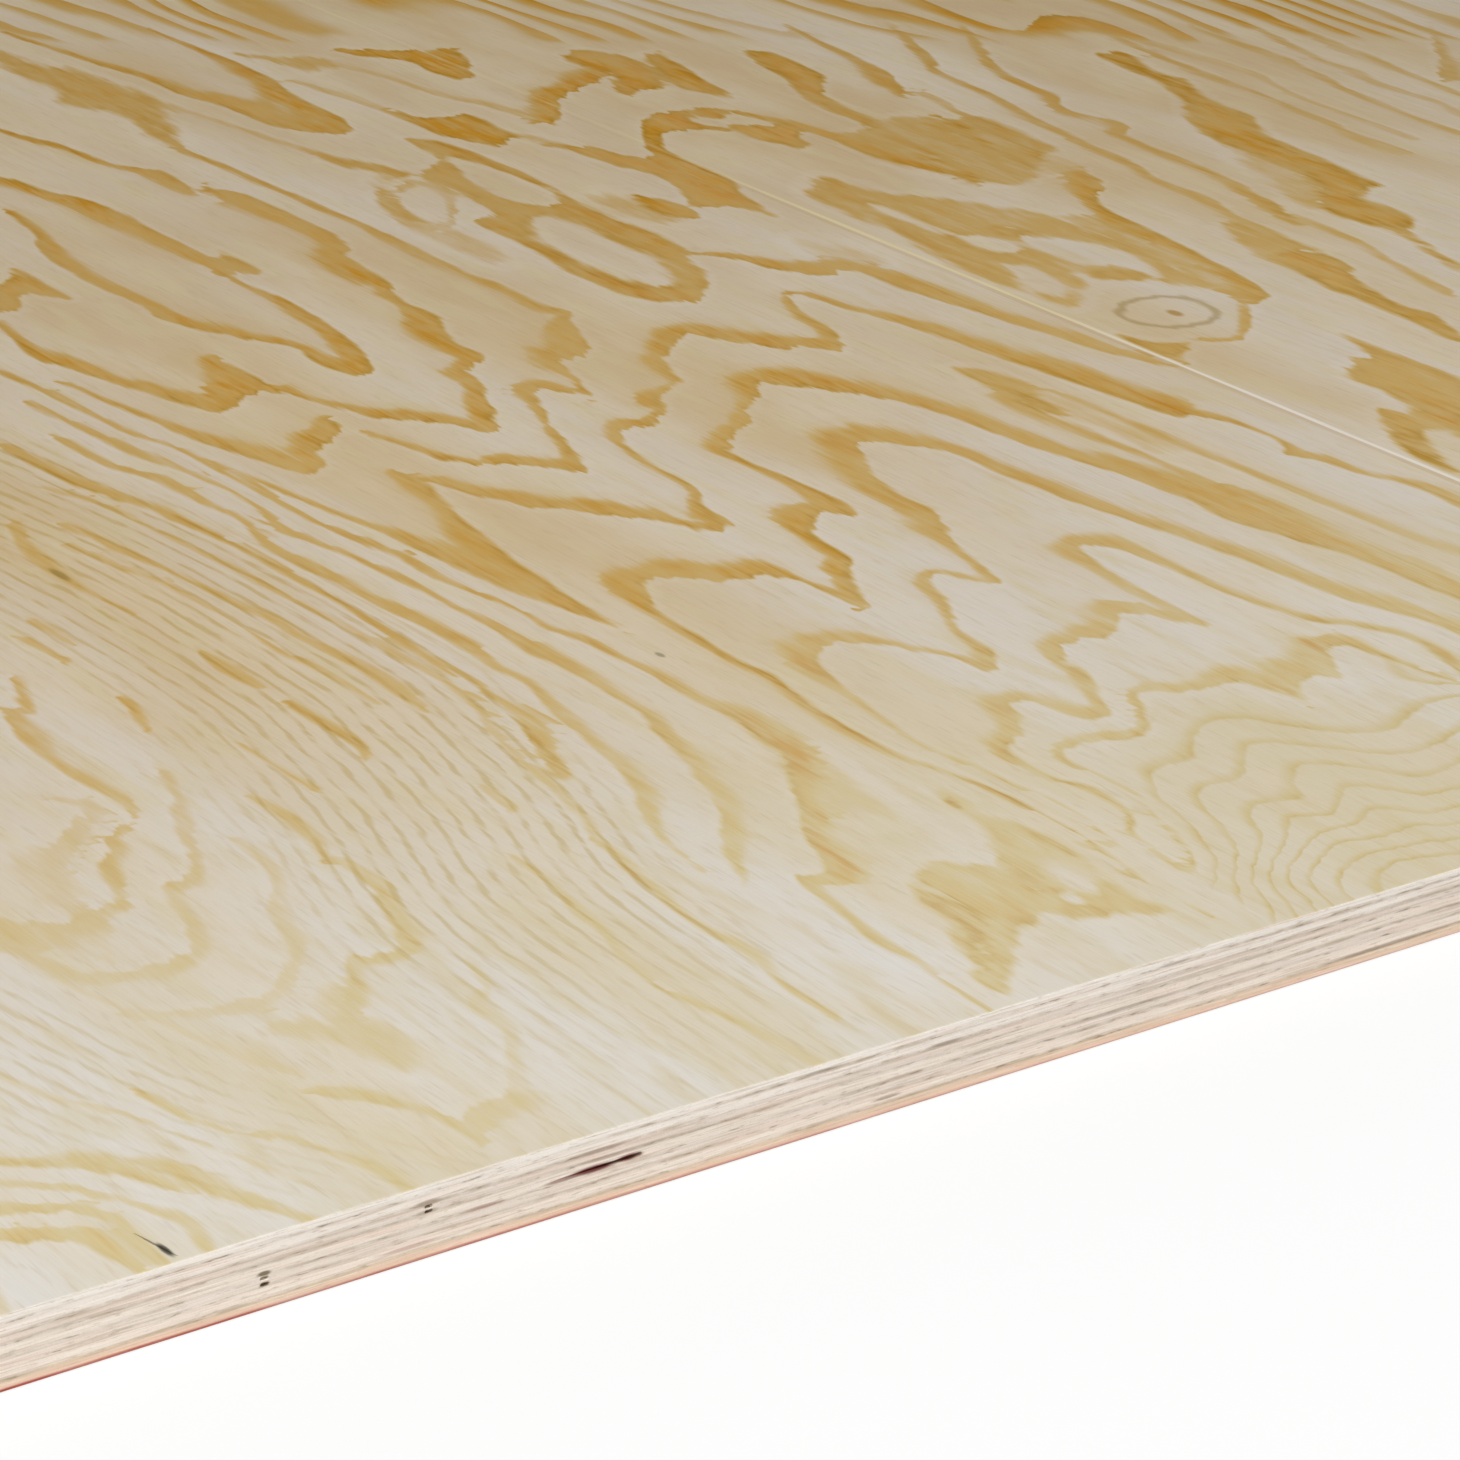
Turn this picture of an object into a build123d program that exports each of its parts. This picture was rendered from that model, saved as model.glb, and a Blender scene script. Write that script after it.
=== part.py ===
"""Softwood plywood sheet, lying flat: seven plies of peeled veneer glued with their grain crossed.

+X runs along the face grain, +Y across it and +Z up through the plies.
The origin is on the floor, under the middle of the sheet. Lengths are in millimetres.
"""
import os

from build123d import *

# The sheet, trimmed square by the saw
sheet_length = 2440.0
sheet_width = 1220.0
arris_radius = 0.3

# Thickness of each ply, from the back up; the grain turns by a quarter from one ply to the next
back_veneer_thickness = 2.6
lower_crossband_thickness = 3.0
lower_core_thickness = 2.4
middle_crossband_thickness = 2.9
upper_core_thickness = 2.1
upper_crossband_thickness = 2.7
face_veneer_thickness = 2.3

# The face is two leaves of veneer, edge-glued along a joint that runs with the grain
joint_from_left_edge = 720.0

# A sliver torn out of the middle crossband at the sawn end, a teardrop with its tail to the left
tear_nose_from_left_edge = 286.0
tear_length = 25.0
tear_height = 1.1
tear_level = 1.3
tear_depth = 6.0

# Gaps between core strips at the sawn end: glue closes the middle and leaves two small hollows
lower_gap_from_left_edge = 188.5
upper_gap_from_left_edge = 230.0
gap_width = 2.2
gap_height = 0.9
gap_depth = 8.0

# A short check in the face, just behind the sawn end, that slopes a little off the grain
check_from_left_edge = 167.5
check_from_end = 2.0
check_length = 15.0
check_width = 0.7
check_depth = 1.2
check_slope = 10.0

# Heights of the glue lines above the floor
back_veneer_top = back_veneer_thickness
lower_crossband_top = back_veneer_top + lower_crossband_thickness
lower_core_top = lower_crossband_top + lower_core_thickness
middle_crossband_top = lower_core_top + middle_crossband_thickness
upper_core_top = middle_crossband_top + upper_core_thickness
upper_crossband_top = upper_core_top + upper_crossband_thickness
sheet_thickness = upper_crossband_top + face_veneer_thickness

# The two long edges, the joint between them, and the sawn end as a plane seen from outside
left_edge = -sheet_width / 2
right_edge = sheet_width / 2
joint_line = left_edge + joint_from_left_edge
sawn_end = Plane(origin=(sheet_length / 2, 0, 0), x_dir=(0, 1, 0), z_dir=(1, 0, 0))


def leaf(bottom, left=left_edge, right=right_edge):
    """Outline of a leaf of veneer as long as the sheet, at the height of its underside."""
    with BuildSketch(Plane.XY.offset(bottom)) as outline:
        with Locations((0, (left + right) / 2)):
            Rectangle(sheet_length, right - left)
    return outline.sketch


def core_gap(across, bottom, top):
    """Ends of the two hollows of a core gap, one against each glue line of the ply."""
    with BuildSketch(sawn_end) as outline:
        with Locations((across, bottom + gap_height / 2), (across, top - gap_height / 2)):
            SlotOverall(gap_width, gap_height)
    return outline.sketch


def torn_sliver(nose, level):
    """Teardrop left by a torn-out sliver: a long tail to the left and a round nose."""
    tail = (nose - tear_length, level)
    nose_top = (nose - tear_height / 2, level + tear_height / 2)
    nose_bottom = (nose - tear_height / 2, level - tear_height / 2)
    with BuildSketch(sawn_end) as outline:
        with BuildLine():
            Line(tail, nose_top)
            ThreePointArc(nose_top, (nose, level), nose_bottom)
            Line(nose_bottom, tail)
        make_face()
    return outline.sketch


def drying_check(along, across):
    """Lens-shaped opening in the face, pointed at both ends."""
    near_tip = (-check_length / 2, 0)
    far_tip = (check_length / 2, 0)
    fibre = Vector(1, 0, 0).rotate(Axis.Z, check_slope)
    with BuildSketch(Plane(origin=(along, across, sheet_thickness), x_dir=fibre)) as outline:
        with BuildLine():
            ThreePointArc(near_tip, (0, check_width / 2), far_tip)
            ThreePointArc(far_tip, (0, -check_width / 2), near_tip)
        make_face()
    return outline.sketch


# Back veneer: grain along the sheet, its lower arris eased all round
with BuildPart() as back_veneer:
    extrude(leaf(0), amount=back_veneer_thickness)
    fillet(back_veneer.faces().sort_by(Axis.Z)[0].edges(), radius=arris_radius)
back_veneer.part.label = "back_veneer"

# Lower crossband: grain across the sheet
with BuildPart() as crossband_lower:
    extrude(leaf(back_veneer_top), amount=lower_crossband_thickness)
crossband_lower.part.label = "crossband_lower"

# Lower core ply: grain along the sheet, with a core gap at the sawn end
with BuildPart() as core_ply_lower:
    extrude(leaf(lower_crossband_top), amount=lower_core_thickness)
    gap_line = left_edge + lower_gap_from_left_edge
    hollows = core_gap(gap_line, lower_crossband_top, lower_core_top)
    extrude(hollows, amount=-gap_depth, mode=Mode.SUBTRACT)
core_ply_lower.part.label = "core_ply_lower"

# Middle crossband: grain across the sheet, with the torn-out sliver at the sawn end
with BuildPart() as crossband_middle:
    extrude(leaf(lower_core_top), amount=middle_crossband_thickness)
    tear = torn_sliver(left_edge + tear_nose_from_left_edge, lower_core_top + tear_level)
    extrude(tear, amount=-tear_depth, mode=Mode.SUBTRACT)
crossband_middle.part.label = "crossband_middle"

# Upper core ply: grain along the sheet, with a core gap at the sawn end
with BuildPart() as core_ply_upper:
    extrude(leaf(middle_crossband_top), amount=upper_core_thickness)
    gap_line = left_edge + upper_gap_from_left_edge
    hollows = core_gap(gap_line, middle_crossband_top, upper_core_top)
    extrude(hollows, amount=-gap_depth, mode=Mode.SUBTRACT)
core_ply_upper.part.label = "core_ply_upper"

# Upper crossband: grain across the sheet
with BuildPart() as crossband_upper:
    extrude(leaf(upper_core_top), amount=upper_crossband_thickness)
crossband_upper.part.label = "crossband_upper"

# Left face leaf: grain along the sheet, eased on its three cut edges, with the check near the end
with BuildPart() as face_veneer_left:
    extrude(leaf(upper_crossband_top, right=joint_line), amount=face_veneer_thickness)
    face_edges = face_veneer_left.faces().sort_by(Axis.Z)[-1].edges()
    fillet(face_edges.sort_by(Axis.Y)[:-1], radius=arris_radius)
    check_middle = sheet_length / 2 - check_from_end - check_length / 2
    opening = drying_check(check_middle, left_edge + check_from_left_edge)
    extrude(opening, amount=-check_depth, mode=Mode.SUBTRACT)
face_veneer_left.part.label = "face_veneer_left"

# Right face leaf: the same veneer on the other side of the joint
with BuildPart() as face_veneer_right:
    extrude(leaf(upper_crossband_top, left=joint_line), amount=face_veneer_thickness)
    face_edges = face_veneer_right.faces().sort_by(Axis.Z)[-1].edges()
    fillet(face_edges.sort_by(Axis.Y)[1:], radius=arris_radius)
face_veneer_right.part.label = "face_veneer_right"

plies = [
    back_veneer, crossband_lower, core_ply_lower, crossband_middle,
    core_ply_upper, crossband_upper, face_veneer_left, face_veneer_right,
]
os.makedirs("parts", exist_ok=True)
for ply in plies:
    export_step(ply.part, f"parts/{ply.part.label}.step")
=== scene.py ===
# %% [markdown]
# The piece is one sheet of softwood plywood, lying flat: seven plies of peeled veneer, glued with
# their grain crossed and trimmed by a saw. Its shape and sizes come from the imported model, which this
# script only dresses. The first cell loads that model, before anything else is made.

# %% Load the sheet
import math

import bmesh
import bpy
import numpy as np
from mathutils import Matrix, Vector


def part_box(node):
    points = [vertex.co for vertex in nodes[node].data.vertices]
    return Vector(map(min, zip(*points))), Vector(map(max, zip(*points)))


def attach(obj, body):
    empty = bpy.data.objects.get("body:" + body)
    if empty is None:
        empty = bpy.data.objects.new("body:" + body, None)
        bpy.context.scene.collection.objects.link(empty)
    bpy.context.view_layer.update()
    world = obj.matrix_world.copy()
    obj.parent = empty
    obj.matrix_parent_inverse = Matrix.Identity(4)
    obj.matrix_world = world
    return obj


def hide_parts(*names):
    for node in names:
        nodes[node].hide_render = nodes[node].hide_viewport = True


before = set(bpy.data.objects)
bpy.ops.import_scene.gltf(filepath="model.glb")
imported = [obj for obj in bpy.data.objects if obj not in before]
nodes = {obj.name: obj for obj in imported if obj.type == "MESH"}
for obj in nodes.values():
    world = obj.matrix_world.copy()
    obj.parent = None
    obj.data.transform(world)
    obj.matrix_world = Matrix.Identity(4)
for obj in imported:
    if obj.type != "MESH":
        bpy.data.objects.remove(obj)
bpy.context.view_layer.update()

leaf_boxes = {name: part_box(name) for name in ("face_veneer_left", "face_veneer_right")}
low = Vector(map(min, *(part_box(name)[0] for name in nodes)))
high = Vector(map(max, *(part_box(name)[1] for name in nodes)))
length, width, thickness = high - low
joint_line = leaf_boxes["face_veneer_left"][1].y
face_top = high.z
mm = 0.001
print("sheet", round(length, 3), "x", round(width, 3), "x", round(thickness, 4), "m, plies", len(nodes))

# %% [markdown]
# The camera stands in front of the sawn end, a little above the sheet, and looks along the grain and
# across it. It could be placed by eye. Here its place, turn and lens were worked out once from the two
# long edges of the sawn end and the direction of the face joint, so it is written down as plain values.

# %% Camera
camera_place = Vector((2.098, -0.9048, 0.5477))
camera_azimuth = 55.44
camera_elevation = 22.48
lens_mm = 129.45
film_mm = 36
farthest = 50

camera_data = bpy.data.cameras.new("camera")
camera_data.lens = lens_mm
camera_data.sensor_width = film_mm
camera_data.sensor_fit = "HORIZONTAL"
camera_data.clip_end = farthest
camera = bpy.data.objects.new("camera", camera_data)
camera.location = camera_place
camera.rotation_euler = (math.radians(90 - camera_elevation), 0, math.radians(camera_azimuth))
bpy.context.scene.collection.objects.link(camera)
bpy.context.scene.camera = camera
print("camera", tuple(round(v, 3) for v in camera_place), "m, lens", lens_mm, "mm")

# %% [markdown]
# Colours are written as the sRGB hex values that a maker would read off a sample card. The shaders work
# in linear light, so one function turns them. One more function adds a shader node with its settings and
# links, which keeps each material below short enough to read.

# %% Helpers for colours and nodes
def linear(hex_colour):
    """Turns an sRGB hex colour into linear light, with full opacity."""
    channels = [int(hex_colour[i:i + 2], 16) / 255 for i in (1, 3, 5)]
    return [c / 12.92 if c <= 0.04045 else ((c + 0.055) / 1.055) ** 2.4 for c in channels] + [1.0]


def add(tree, kind, sockets=None, **settings):
    """Adds a node with its settings. A socket takes a value, a hex colour, or what another node gives."""
    made = tree.nodes.new("ShaderNode" + kind)
    for name, value in settings.items():
        setattr(made, name, value)
    for key, value in (sockets or {}).items():
        if isinstance(key, str):
            socket = next(socket for socket in made.inputs if socket.name == key and socket.enabled)
        else:
            socket = made.inputs[key]
        if isinstance(value, bpy.types.Node):
            value = next(output for output in value.outputs if output.enabled)
        if isinstance(value, bpy.types.NodeSocket):
            tree.links.new(value, socket)
        else:
            socket.default_value = linear(value) if isinstance(value, str) else value
    return made


def new_material(name):
    """An empty Principled material, its tree and its shader."""
    material = bpy.data.materials.new(name)
    material.use_nodes = True
    shader = material.node_tree.nodes["Principled BSDF"]
    return material, material.node_tree, shader


print("helpers ready; pale wood in linear light is", [round(c, 3) for c in linear("#DCD6CB")])

# %% [markdown]
# The face veneer is peeled off the log like paper off a roll, so the knife passes in and out of the
# growth rings, and each ring's latewood shows as a golden band, sharp on its outer edge and soft on its
# inner one. A noise could make such figure, but not this sheet's. So each band that the photograph shows
# is traced as a curve of a few points along its sharp edge, in millimetres on the face, with the width of
# the band at each point. Gold areas with two sharp edges, and pale islands in them, are closed outlines.
# In the names, rings count outward from the basin, and left and right are the sides of the face joint.

# %% Figure of the face as traced curves
# bands of gold: side of the curve that the gold lies on, strength, and x, y, width along the sharp edge
gold_bands = {
 "basin": (-1, .85, [(470,-103,6),(485,-98,8),(500,-95,9),(525,-87,11),(560,-87,11),(600,-87,7),
   (625,-91,3),(660,-89,6),(690,-91,7),(715,-95,11),(728,-100,14),(738,-106,13),(733,-112,12),
   (715,-114,9),(700,-112,6),(690,-117,7),(672,-126,9),(650,-133,8),(635,-131,6),(610,-133,7),
   (580,-133,9),(565,-131,9),(555,-127,7),(540,-122,4),(515,-120,4)]),
 "ring 2": (-1, .85, [(405,-74,3),(420,-72,4),(440,-68,4),(455,-63,4),(475,-61,4),(490,-58,4),
   (500,-51,8),(518,-51,9),(532,-53,5),(525,-47,4),(532,-46,5),(540,-41,16),(560,-39,13),(600,-39,11),
   (617,-42,13),(625,-47,13),(650,-50,11),(663,-52,9),(668,-56,6),(682,-58,4),(700,-57,12),(712,-62,13),
   (725,-66,11),(740,-66,8),(747,-70,9),(752,-78,8),(762,-80,6),(780,-88,8),(790,-93,8),(801,-98,10),
   (805,-105,12),(797,-108,9),(788,-114,8),(780,-121,8),(775,-126,9),(765,-129,6),(755,-132,4),
   (745,-135,4),(736,-138,8)]),
 "ring 2 blotch": (-1, .85, [(700,-137,10),(722,-137,20),(736,-138,30),(732,-147,32),(738,-153,34),
   (743,-160,36),(738,-166,16),(725,-169,9),(710,-173,7),(695,-177,6),(682,-180,8),(665,-185,8),
   (650,-184,5),(635,-181,4),(622,-179,4)]),
 "ring 3": (-1, .75, [(478,-31,3),(500,-28,4),(530,-27,4),(552,-26,3),(570,-25,4),(600,-24,4),
   (620,-23,7),(640,-24,6),(660,-24,5),(690,-22,5),(710,-22,7),(722,-19,4),(728,-24,7),(740,-28,14),
   (750,-31,18),(758,-38,20),(761,-46,18),(764,-50,10),(775,-53,4),(787,-57,3),(795,-59,6),(787,-63,10),
   (780,-70,10),(787,-75,6),(800,-80,4),(820,-88,4),(833,-92,4),(846,-96,8),(853,-101,5),(845,-105,5),
   (838,-110,7),(833,-116,10),(830,-124,9),(822,-127,5),(815,-130,4),(800,-133,4),(785,-136,3)]),
 "ring 3 lower end": (-1, .85, [(770,-138,6),(779,-140,12),(783,-147,12),(788,-153,10),(793,-157,9),
   (800,-159,9),(808,-166,16),(801,-172,12),(785,-176,9),(770,-180,9),(760,-182,8),(740,-184,4),
   (710,-188,3),(690,-190,3)]),
 "arm 1": (-1, .85, [(878,107,3),(860,102,6),(845,97,8),(825,95,8),(800,91,7),(780,88,9),(760,85,10),
   (740,84,10),(733,80,14),(737,75,14),(730,68,16),(720,62,12),(710,60,8),(700,57,5),(692,52,4)]),
 "arm 2": (-1, .85, [(1022,95,9),(1000,95,6),(985,90,5),(968,88,6),(962,83,8),(950,89,3),(930,89,3),
   (920,85,6),(915,79,10),(900,76,13),(880,73,14),(860,71,14),(830,67,10),(800,64,8),(780,60,6),
   (765,57,4),(748,54,4)]),
 "ring 4": (-1, .8, [(745,52,4),(755,46,4),(765,43,4),(785,41,6),(803,30,12),(795,25,14),(787,15,12),
   (775,8,10),(765,3,12),(762,-2,12),(770,-12,10),(780,-22,8),(800,-29,4),(806,-37,8),(810,-44,9),
   (818,-47,4),(825,-56,4),(830,-62,10),(826,-67,8),(830,-72,5),(840,-76,3),(855,-79,3),(880,-80,3),
   (895,-86,5),(915,-90,11),(917,-97,9),(905,-103,4),(895,-108,9),(885,-117,12),(875,-125,9),
   (865,-132,10),(850,-138,7),(835,-142,7)]),
 "ring 4 wedge": (-1, .75, [(822,-145,5),(835,-145,8),(850,-148,6),(870,-152,9),(890,-155,16),
   (915,-158,14),(940,-160,9),(968,-161,3),(955,-164,5),(940,-168,12),(920,-172,16),(900,-174,16),
   (880,-176,9),(862,-177,5),(840,-181,3),(800,-186,3),(780,-189,3)]),
 "finger, upper line": (-1, .5, [(1052,67,7),(1030,65,5),(980,63,4),(940,62,5),(900,61,4),(870,60,3)]),
 "finger, lower line": (-1, .55, [(868,50,8),(880,47,7),(900,47,6),(930,49,4),(960,50,4),(1000,51,5),
   (1075,51,5)]),
 "ring 5": (-1, .85, [(1080,44,10),(1060,43,12),(1040,42,13),(1020,38,17),(990,32,22),(975,34,19),
   (960,33,14),(940,30,10),(920,26,9),(900,23,9),(880,21,8),(860,18,8),(850,14,10),(838,9,13),(830,3,14),
   (822,-3,16),(815,-8,14),(823,-16,8),(835,-27,6),(845,-36,7),(852,-45,9),(860,-53,6),(870,-54,3),
   (900,-52,6),(922,-52,12),(930,-55,8),(922,-61,14),(925,-67,12),(935,-74,5),(950,-76,6),(957,-77,7),
   (963,-82,8),(975,-88,8),(990,-97,8),(975,-99,4),(962,-101,4),(955,-107,14),(955,-113,16),
   (948,-120,14),(942,-128,14),(940,-135,14),(950,-141,9),(962,-146,4),(1000,-148,4),(1020,-147,4),
   (1050,-151,5),(1080,-151,4),(1100,-147,3),(1120,-145,3),(1150,-145,2),(1190,-150,2),(1207,-149,2)]),
 "ring 6": (-1, .7, [(1102,26,9),(1090,26,8),(1078,22,10),(1060,18,10),(1040,16,8),(1010,13,9),(985,9,9),
   (960,5,8),(930,2,8),(905,1,8),(895,-2,8),(885,-8,13),(879,-15,17),(883,-21,14),(895,-26,13),
   (910,-31,11),(925,-34,9),(940,-33,12),(950,-39,9),(970,-46,4),(985,-50,4),(998,-55,7),(990,-60,5),
   (981,-64,4),(987,-70,5),(1000,-75,4),(1020,-85,3),(1035,-86,5),(1045,-91,8),(1050,-97,7),(1038,-99,4),
   (1025,-105,4),(1014,-112,6),(1009,-120,12),(1012,-127,14),(1020,-132,8),(1045,-137,4),(1060,-140,3),
   (1080,-142,3),(1100,-140,2),(1120,-138,2),(1140,-137,2),(1160,-141,2)]),
 "ring 7": (-1, .7, [(1125,6,2),(1110,10,5),(1095,12,4),(1080,6,5),(1072,0,5),(1060,-4,4),(1030,-7,5),
   (1000,-8,5),(990,-12,9),(987,-17,9),(1000,-21,5),(1020,-24,5),(1040,-25,6),(1057,-26,6),(1050,-31,9),
   (1036,-38,14),(1040,-46,9),(1048,-52,10),(1045,-60,10),(1047,-70,8),(1055,-77,3),(1065,-76,5),
   (1085,-85,5),(1094,-92,8),(1088,-98,7),(1075,-101,8),(1072,-106,9),(1085,-112,8),(1092,-120,10),
   (1097,-126,6),(1108,-128,3),(1120,-128,2)]),
 "ring 7 lens": (-1, .8, [(1118,-128,2),(1127,-124,3),(1140,-124,3),(1150,-127,3),(1157,-133,3),
   (1165,-135,2),(1182,-137,2)]),
 "ring 8": (-1, .65, [(1130,2,2),(1115,-1,3),(1100,-3,4),(1088,-6,9),(1095,-15,14),(1108,-21,16),
   (1101,-28,17),(1108,-37,18),(1116,-39,6),(1105,-43,12),(1093,-46,12),(1093,-55,9),(1090,-65,8),
   (1084,-72,5),(1095,-80,4),(1105,-86,5),(1109,-93,6),(1106,-102,7),(1104,-110,7),(1108,-117,4),
   (1125,-117,2),(1140,-117,2),(1150,-121,2),(1160,-124,2),(1175,-129,2),(1186,-137,2)]),
 "left 1": (1, .7, [(672,-202,4),(700,-199,4),(740,-196,3),(765,-191,3),(790,-190,3),(845,-189,3),
   (860,-187,4),(872,-185,4),(890,-184,5),(905,-184,4),(920,-182,4),(935,-179,3),(955,-179,3),
   (967,-176,4),(985,-175,3),(1000,-174,5),(1020,-175,5),(1035,-174,8),(1055,-176,10),(1066,-178,9),
   (1078,-184,10),(1090,-191,10),(1100,-196,9),(1112,-203,8),(1121,-207,10),(1133,-212,13),
   (1131,-217,12),(1136,-221,6),(1155,-223,3),(1175,-226,4),(1190,-225,3),(1222,-228,3)]),
 "left 2": (1, .6, [(700,-209,4),(735,-206,4),(762,-204,6),(775,-201,5),(790,-198,3),(820,-196,3),
   (845,-201,5),(865,-197,4),(880,-195,4),(900,-193,4),(925,-192,3),(950,-192,6),(970,-193,7),
   (990,-191,6),(1015,-192,4),(1025,-193,6),(1038,-197,5),(1055,-200,5),(1065,-204,6),(1080,-208,6),
   (1095,-217,7),(1105,-223,7),(1115,-228,4),(1127,-232,2)]),
 "left 3": (1, .6, [(735,-217,4),(765,-216,4),(785,-210,5),(800,-209,6),(815,-208,4),(830,-206,4),
   (855,-211,5),(870,-211,5),(890,-209,5),(905,-209,4),(920,-208,6),(940,-206,5),(955,-206,6),
   (970,-207,3),(985,-206,4),(1000,-210,5),(1015,-212,5),(1040,-216,5),(1060,-221,6),(1070,-226,8),
   (1080,-231,5),(1095,-234,2),(1115,-236,2)]),
 "left 4": (1, .65, [(735,-234,5),(760,-233,6),(775,-232,6),(790,-228,6),(805,-224,5),(820,-222,4),
   (850,-218,3),(900,-217,3),(925,-217,3),(945,-219,4),(975,-217,4),(985,-219,3),(1000,-220,5),
   (1010,-222,7),(1020,-226,8),(1030,-230,7),(1044,-233,4)]),
 "left 5": (1, .4, [(775,-240,4),(800,-233,3),(850,-229,3),(930,-225,4),(950,-225,4),(965,-224,4),
   (990,-226,3),(1010,-232,4),(1030,-236,3),(1070,-243,3),(1085,-249,3)]),
 "left 6": (1, .5, [(805,-251,4),(850,-245,3),(900,-240,4),(920,-240,4),(945,-238,5),(965,-238,6),
   (985,-239,4)]),
 "left 7": (1, .4, [(820,-258,3),(870,-250,4),(900,-248,2),(925,-249,3),(950,-247,3),(975,-246,2)]),
 "left 8": (1, .5, [(795,-263,5),(815,-270,5),(828,-272,6),(840,-272,5),(856,-271,3),(880,-268,2)]),
 "left 9": (1, .55, [(915,-267,2),(930,-269,5),(947,-267,3)]),
 "left 10": (1, .65, [(961,-267,4),(980,-267,5),(995,-266,4),(1004,-268,3)]),
 "left 11": (1, .6, [(978,-291,2),(995,-291,3),(1016,-290,3)]),
 "left 12": (1, .5, [(1085,-249,3),(1095,-250,4),(1118,-254,4),(1140,-256,3),(1160,-256,5),(1180,-258,3),
   (1200,-259,4)]),
 "left 13": (1, .45, [(1040,-254,3),(1055,-255,3)]),
 "left 14": (1, .5, [(1080,-271,2),(1100,-272,3),(1118,-276,4),(1130,-277,4),(1145,-281,3),(1165,-283,2)]),
 "left 15": (1, .5, [(1165,-283,2),(1180,-281,3),(1195,-279,4),(1210,-278,5),(1222,-277,5)]),
 "left 16": (1, .7, [(1012,-306,3),(1030,-306,5),(1042,-307,5),(1050,-309,4),(1056,-310,2)]),
 "left 17": (1, .52, [(1060,-308,4),(1075,-309,6),(1085,-312,6),(1095,-315,5),(1105,-319,7),
   (1113,-325,6),(1108,-334,7),(1114,-338,5),(1122,-343,6),(1130,-349,7),(1136,-353,5)]),
 "left 18": (1, .45, [(868,-294,3),(880,-294,4),(892,-293,2)]),
 "left 19": (1, .45, [(880,-303,4),(900,-301,3)]),
 "left 20": (1, .6, [(934,-301,3),(945,-304,4),(957,-306,2)]),
 "left 21": (1, .52, [(925,-332,6),(945,-336,7),(960,-337,4),(975,-337,5),(990,-335,4),(1000,-335,3),
   (1008,-340,4),(1012,-348,5),(1020,-352,7),(1028,-358,6),(1040,-362,5),(1050,-366,6),(1048,-372,14),
   (1052,-380,16),(1047,-388,16),(1040,-392,9)]),
 "left 22": (1, .42, [(985,-318,4),(1000,-322,3),(1015,-329,5),(1030,-335,4),(1044,-341,4),
   (1046,-348,10),(1052,-353,5),(1068,-356,4),(1080,-361,5),(1086,-368,7),(1087,-378,7),(1084,-386,7),
   (1078,-391,6),(1065,-395,4),(1056,-399,4)]),
 "left 23": (1, .45, [(905,-319,5),(918,-324,5),(928,-326,3)]),
 "left 24": (1, .3, [(1125,-312,2),(1140,-317,4),(1147,-325,4),(1165,-326,4),(1175,-332,4),(1184,-336,4),
   (1193,-343,6)]),
 "left 25": (1, .38, [(1193,-343,10),(1193,-353,12),(1198,-358,10),(1210,-361,2)]),
 "left 26": (-1, .5, [(1210,-360,3),(1195,-362,4),(1185,-366,4),(1177,-371,6),(1169,-377,5)]),
 "left 27": (-1, .45, [(1222,-386,4),(1205,-388,4),(1190,-393,3),(1179,-399,4)]),
 "left 28": (-1, .6, [(1174,-404,2),(1162,-409,4),(1145,-411,3)]),
 "left 29": (-1, .3, [(1156,-378,4),(1148,-382,4),(1135,-385,5),(1118,-389,3),(1100,-394,2),(1080,-398,2)]),
 "left 30": (-1, .3, [(1205,-402,2),(1180,-410,2),(1150,-420,2),(1140,-428,3),(1125,-432,3)]),
 "left ring": (1, .3, [(1033,-323,3),(1049,-324,4),(1060,-327,4),(1072,-335,5),(1084,-340,5),
   (1096,-343,5),(1110,-354,6),(1115,-361,7),(1114,-377,6),(1105,-393,4)]),
 "left inner ring": (1, .32, [(986,-347,4),(994,-344,6),(1002,-352,7),(1012,-364,8),(1024,-373,8),
   (1036,-375,5)]),
 "small ring": (-1, .4, [(573,0,4),(562,17,5),(574,22,5),(596,15,4),(619,-3,4),(617,-12,5),(603,-13,5),
   (588,-8,4),(573,0,4)]),
 "corner 1": (-1, .55, [(1222,-410,3),(1205,-418,5),(1195,-422,7),(1185,-424,7),(1176,-428,5)]),
 "corner 2": (-1, .6, [(1190,-428,5),(1180,-433,8),(1172,-438,9),(1165,-446,7),(1158,-453,4)]),
 "corner 3": (-1, .5, [(1222,-436,3),(1205,-434,5),(1195,-437,3),(1185,-442,3),(1178,-446,3),
   (1170,-455,4)]),
 "corner 4": (-1, .55, [(1222,-447,3),(1205,-446,3),(1195,-446,4),(1186,-452,5),(1183,-458,6),
   (1179,-464,6)]),
 "corner 5": (-1, .65, [(1222,-452,4),(1210,-454,6),(1200,-456,8),(1196,-462,7),(1191,-468,7),
   (1188,-472,6)]),
 "corner 6": (-1, .35, [(1193,-472,3),(1205,-478,3),(1222,-482,3)]),
 "far nose": (-1, .85, [(372,43,5),(395,44,8),(420,43,10),(440,39,12),(465,38,14),(482,37,14),
   (493,33,14),(499,28,16),(492,22,14),(482,14,16),(470,11,16),(450,10,16),(430,7,12),(415,4,9),
   (400,4,7),(385,3,5),(370,0,5),(355,-3,4),(338,-5,4)]),
 "far line 1": (1, .4, [(412,72,4),(425,75,4),(440,78,4),(460,81,4),(480,84,5),(495,89,5),(512,92,5),
   (528,96,4)]),
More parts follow.
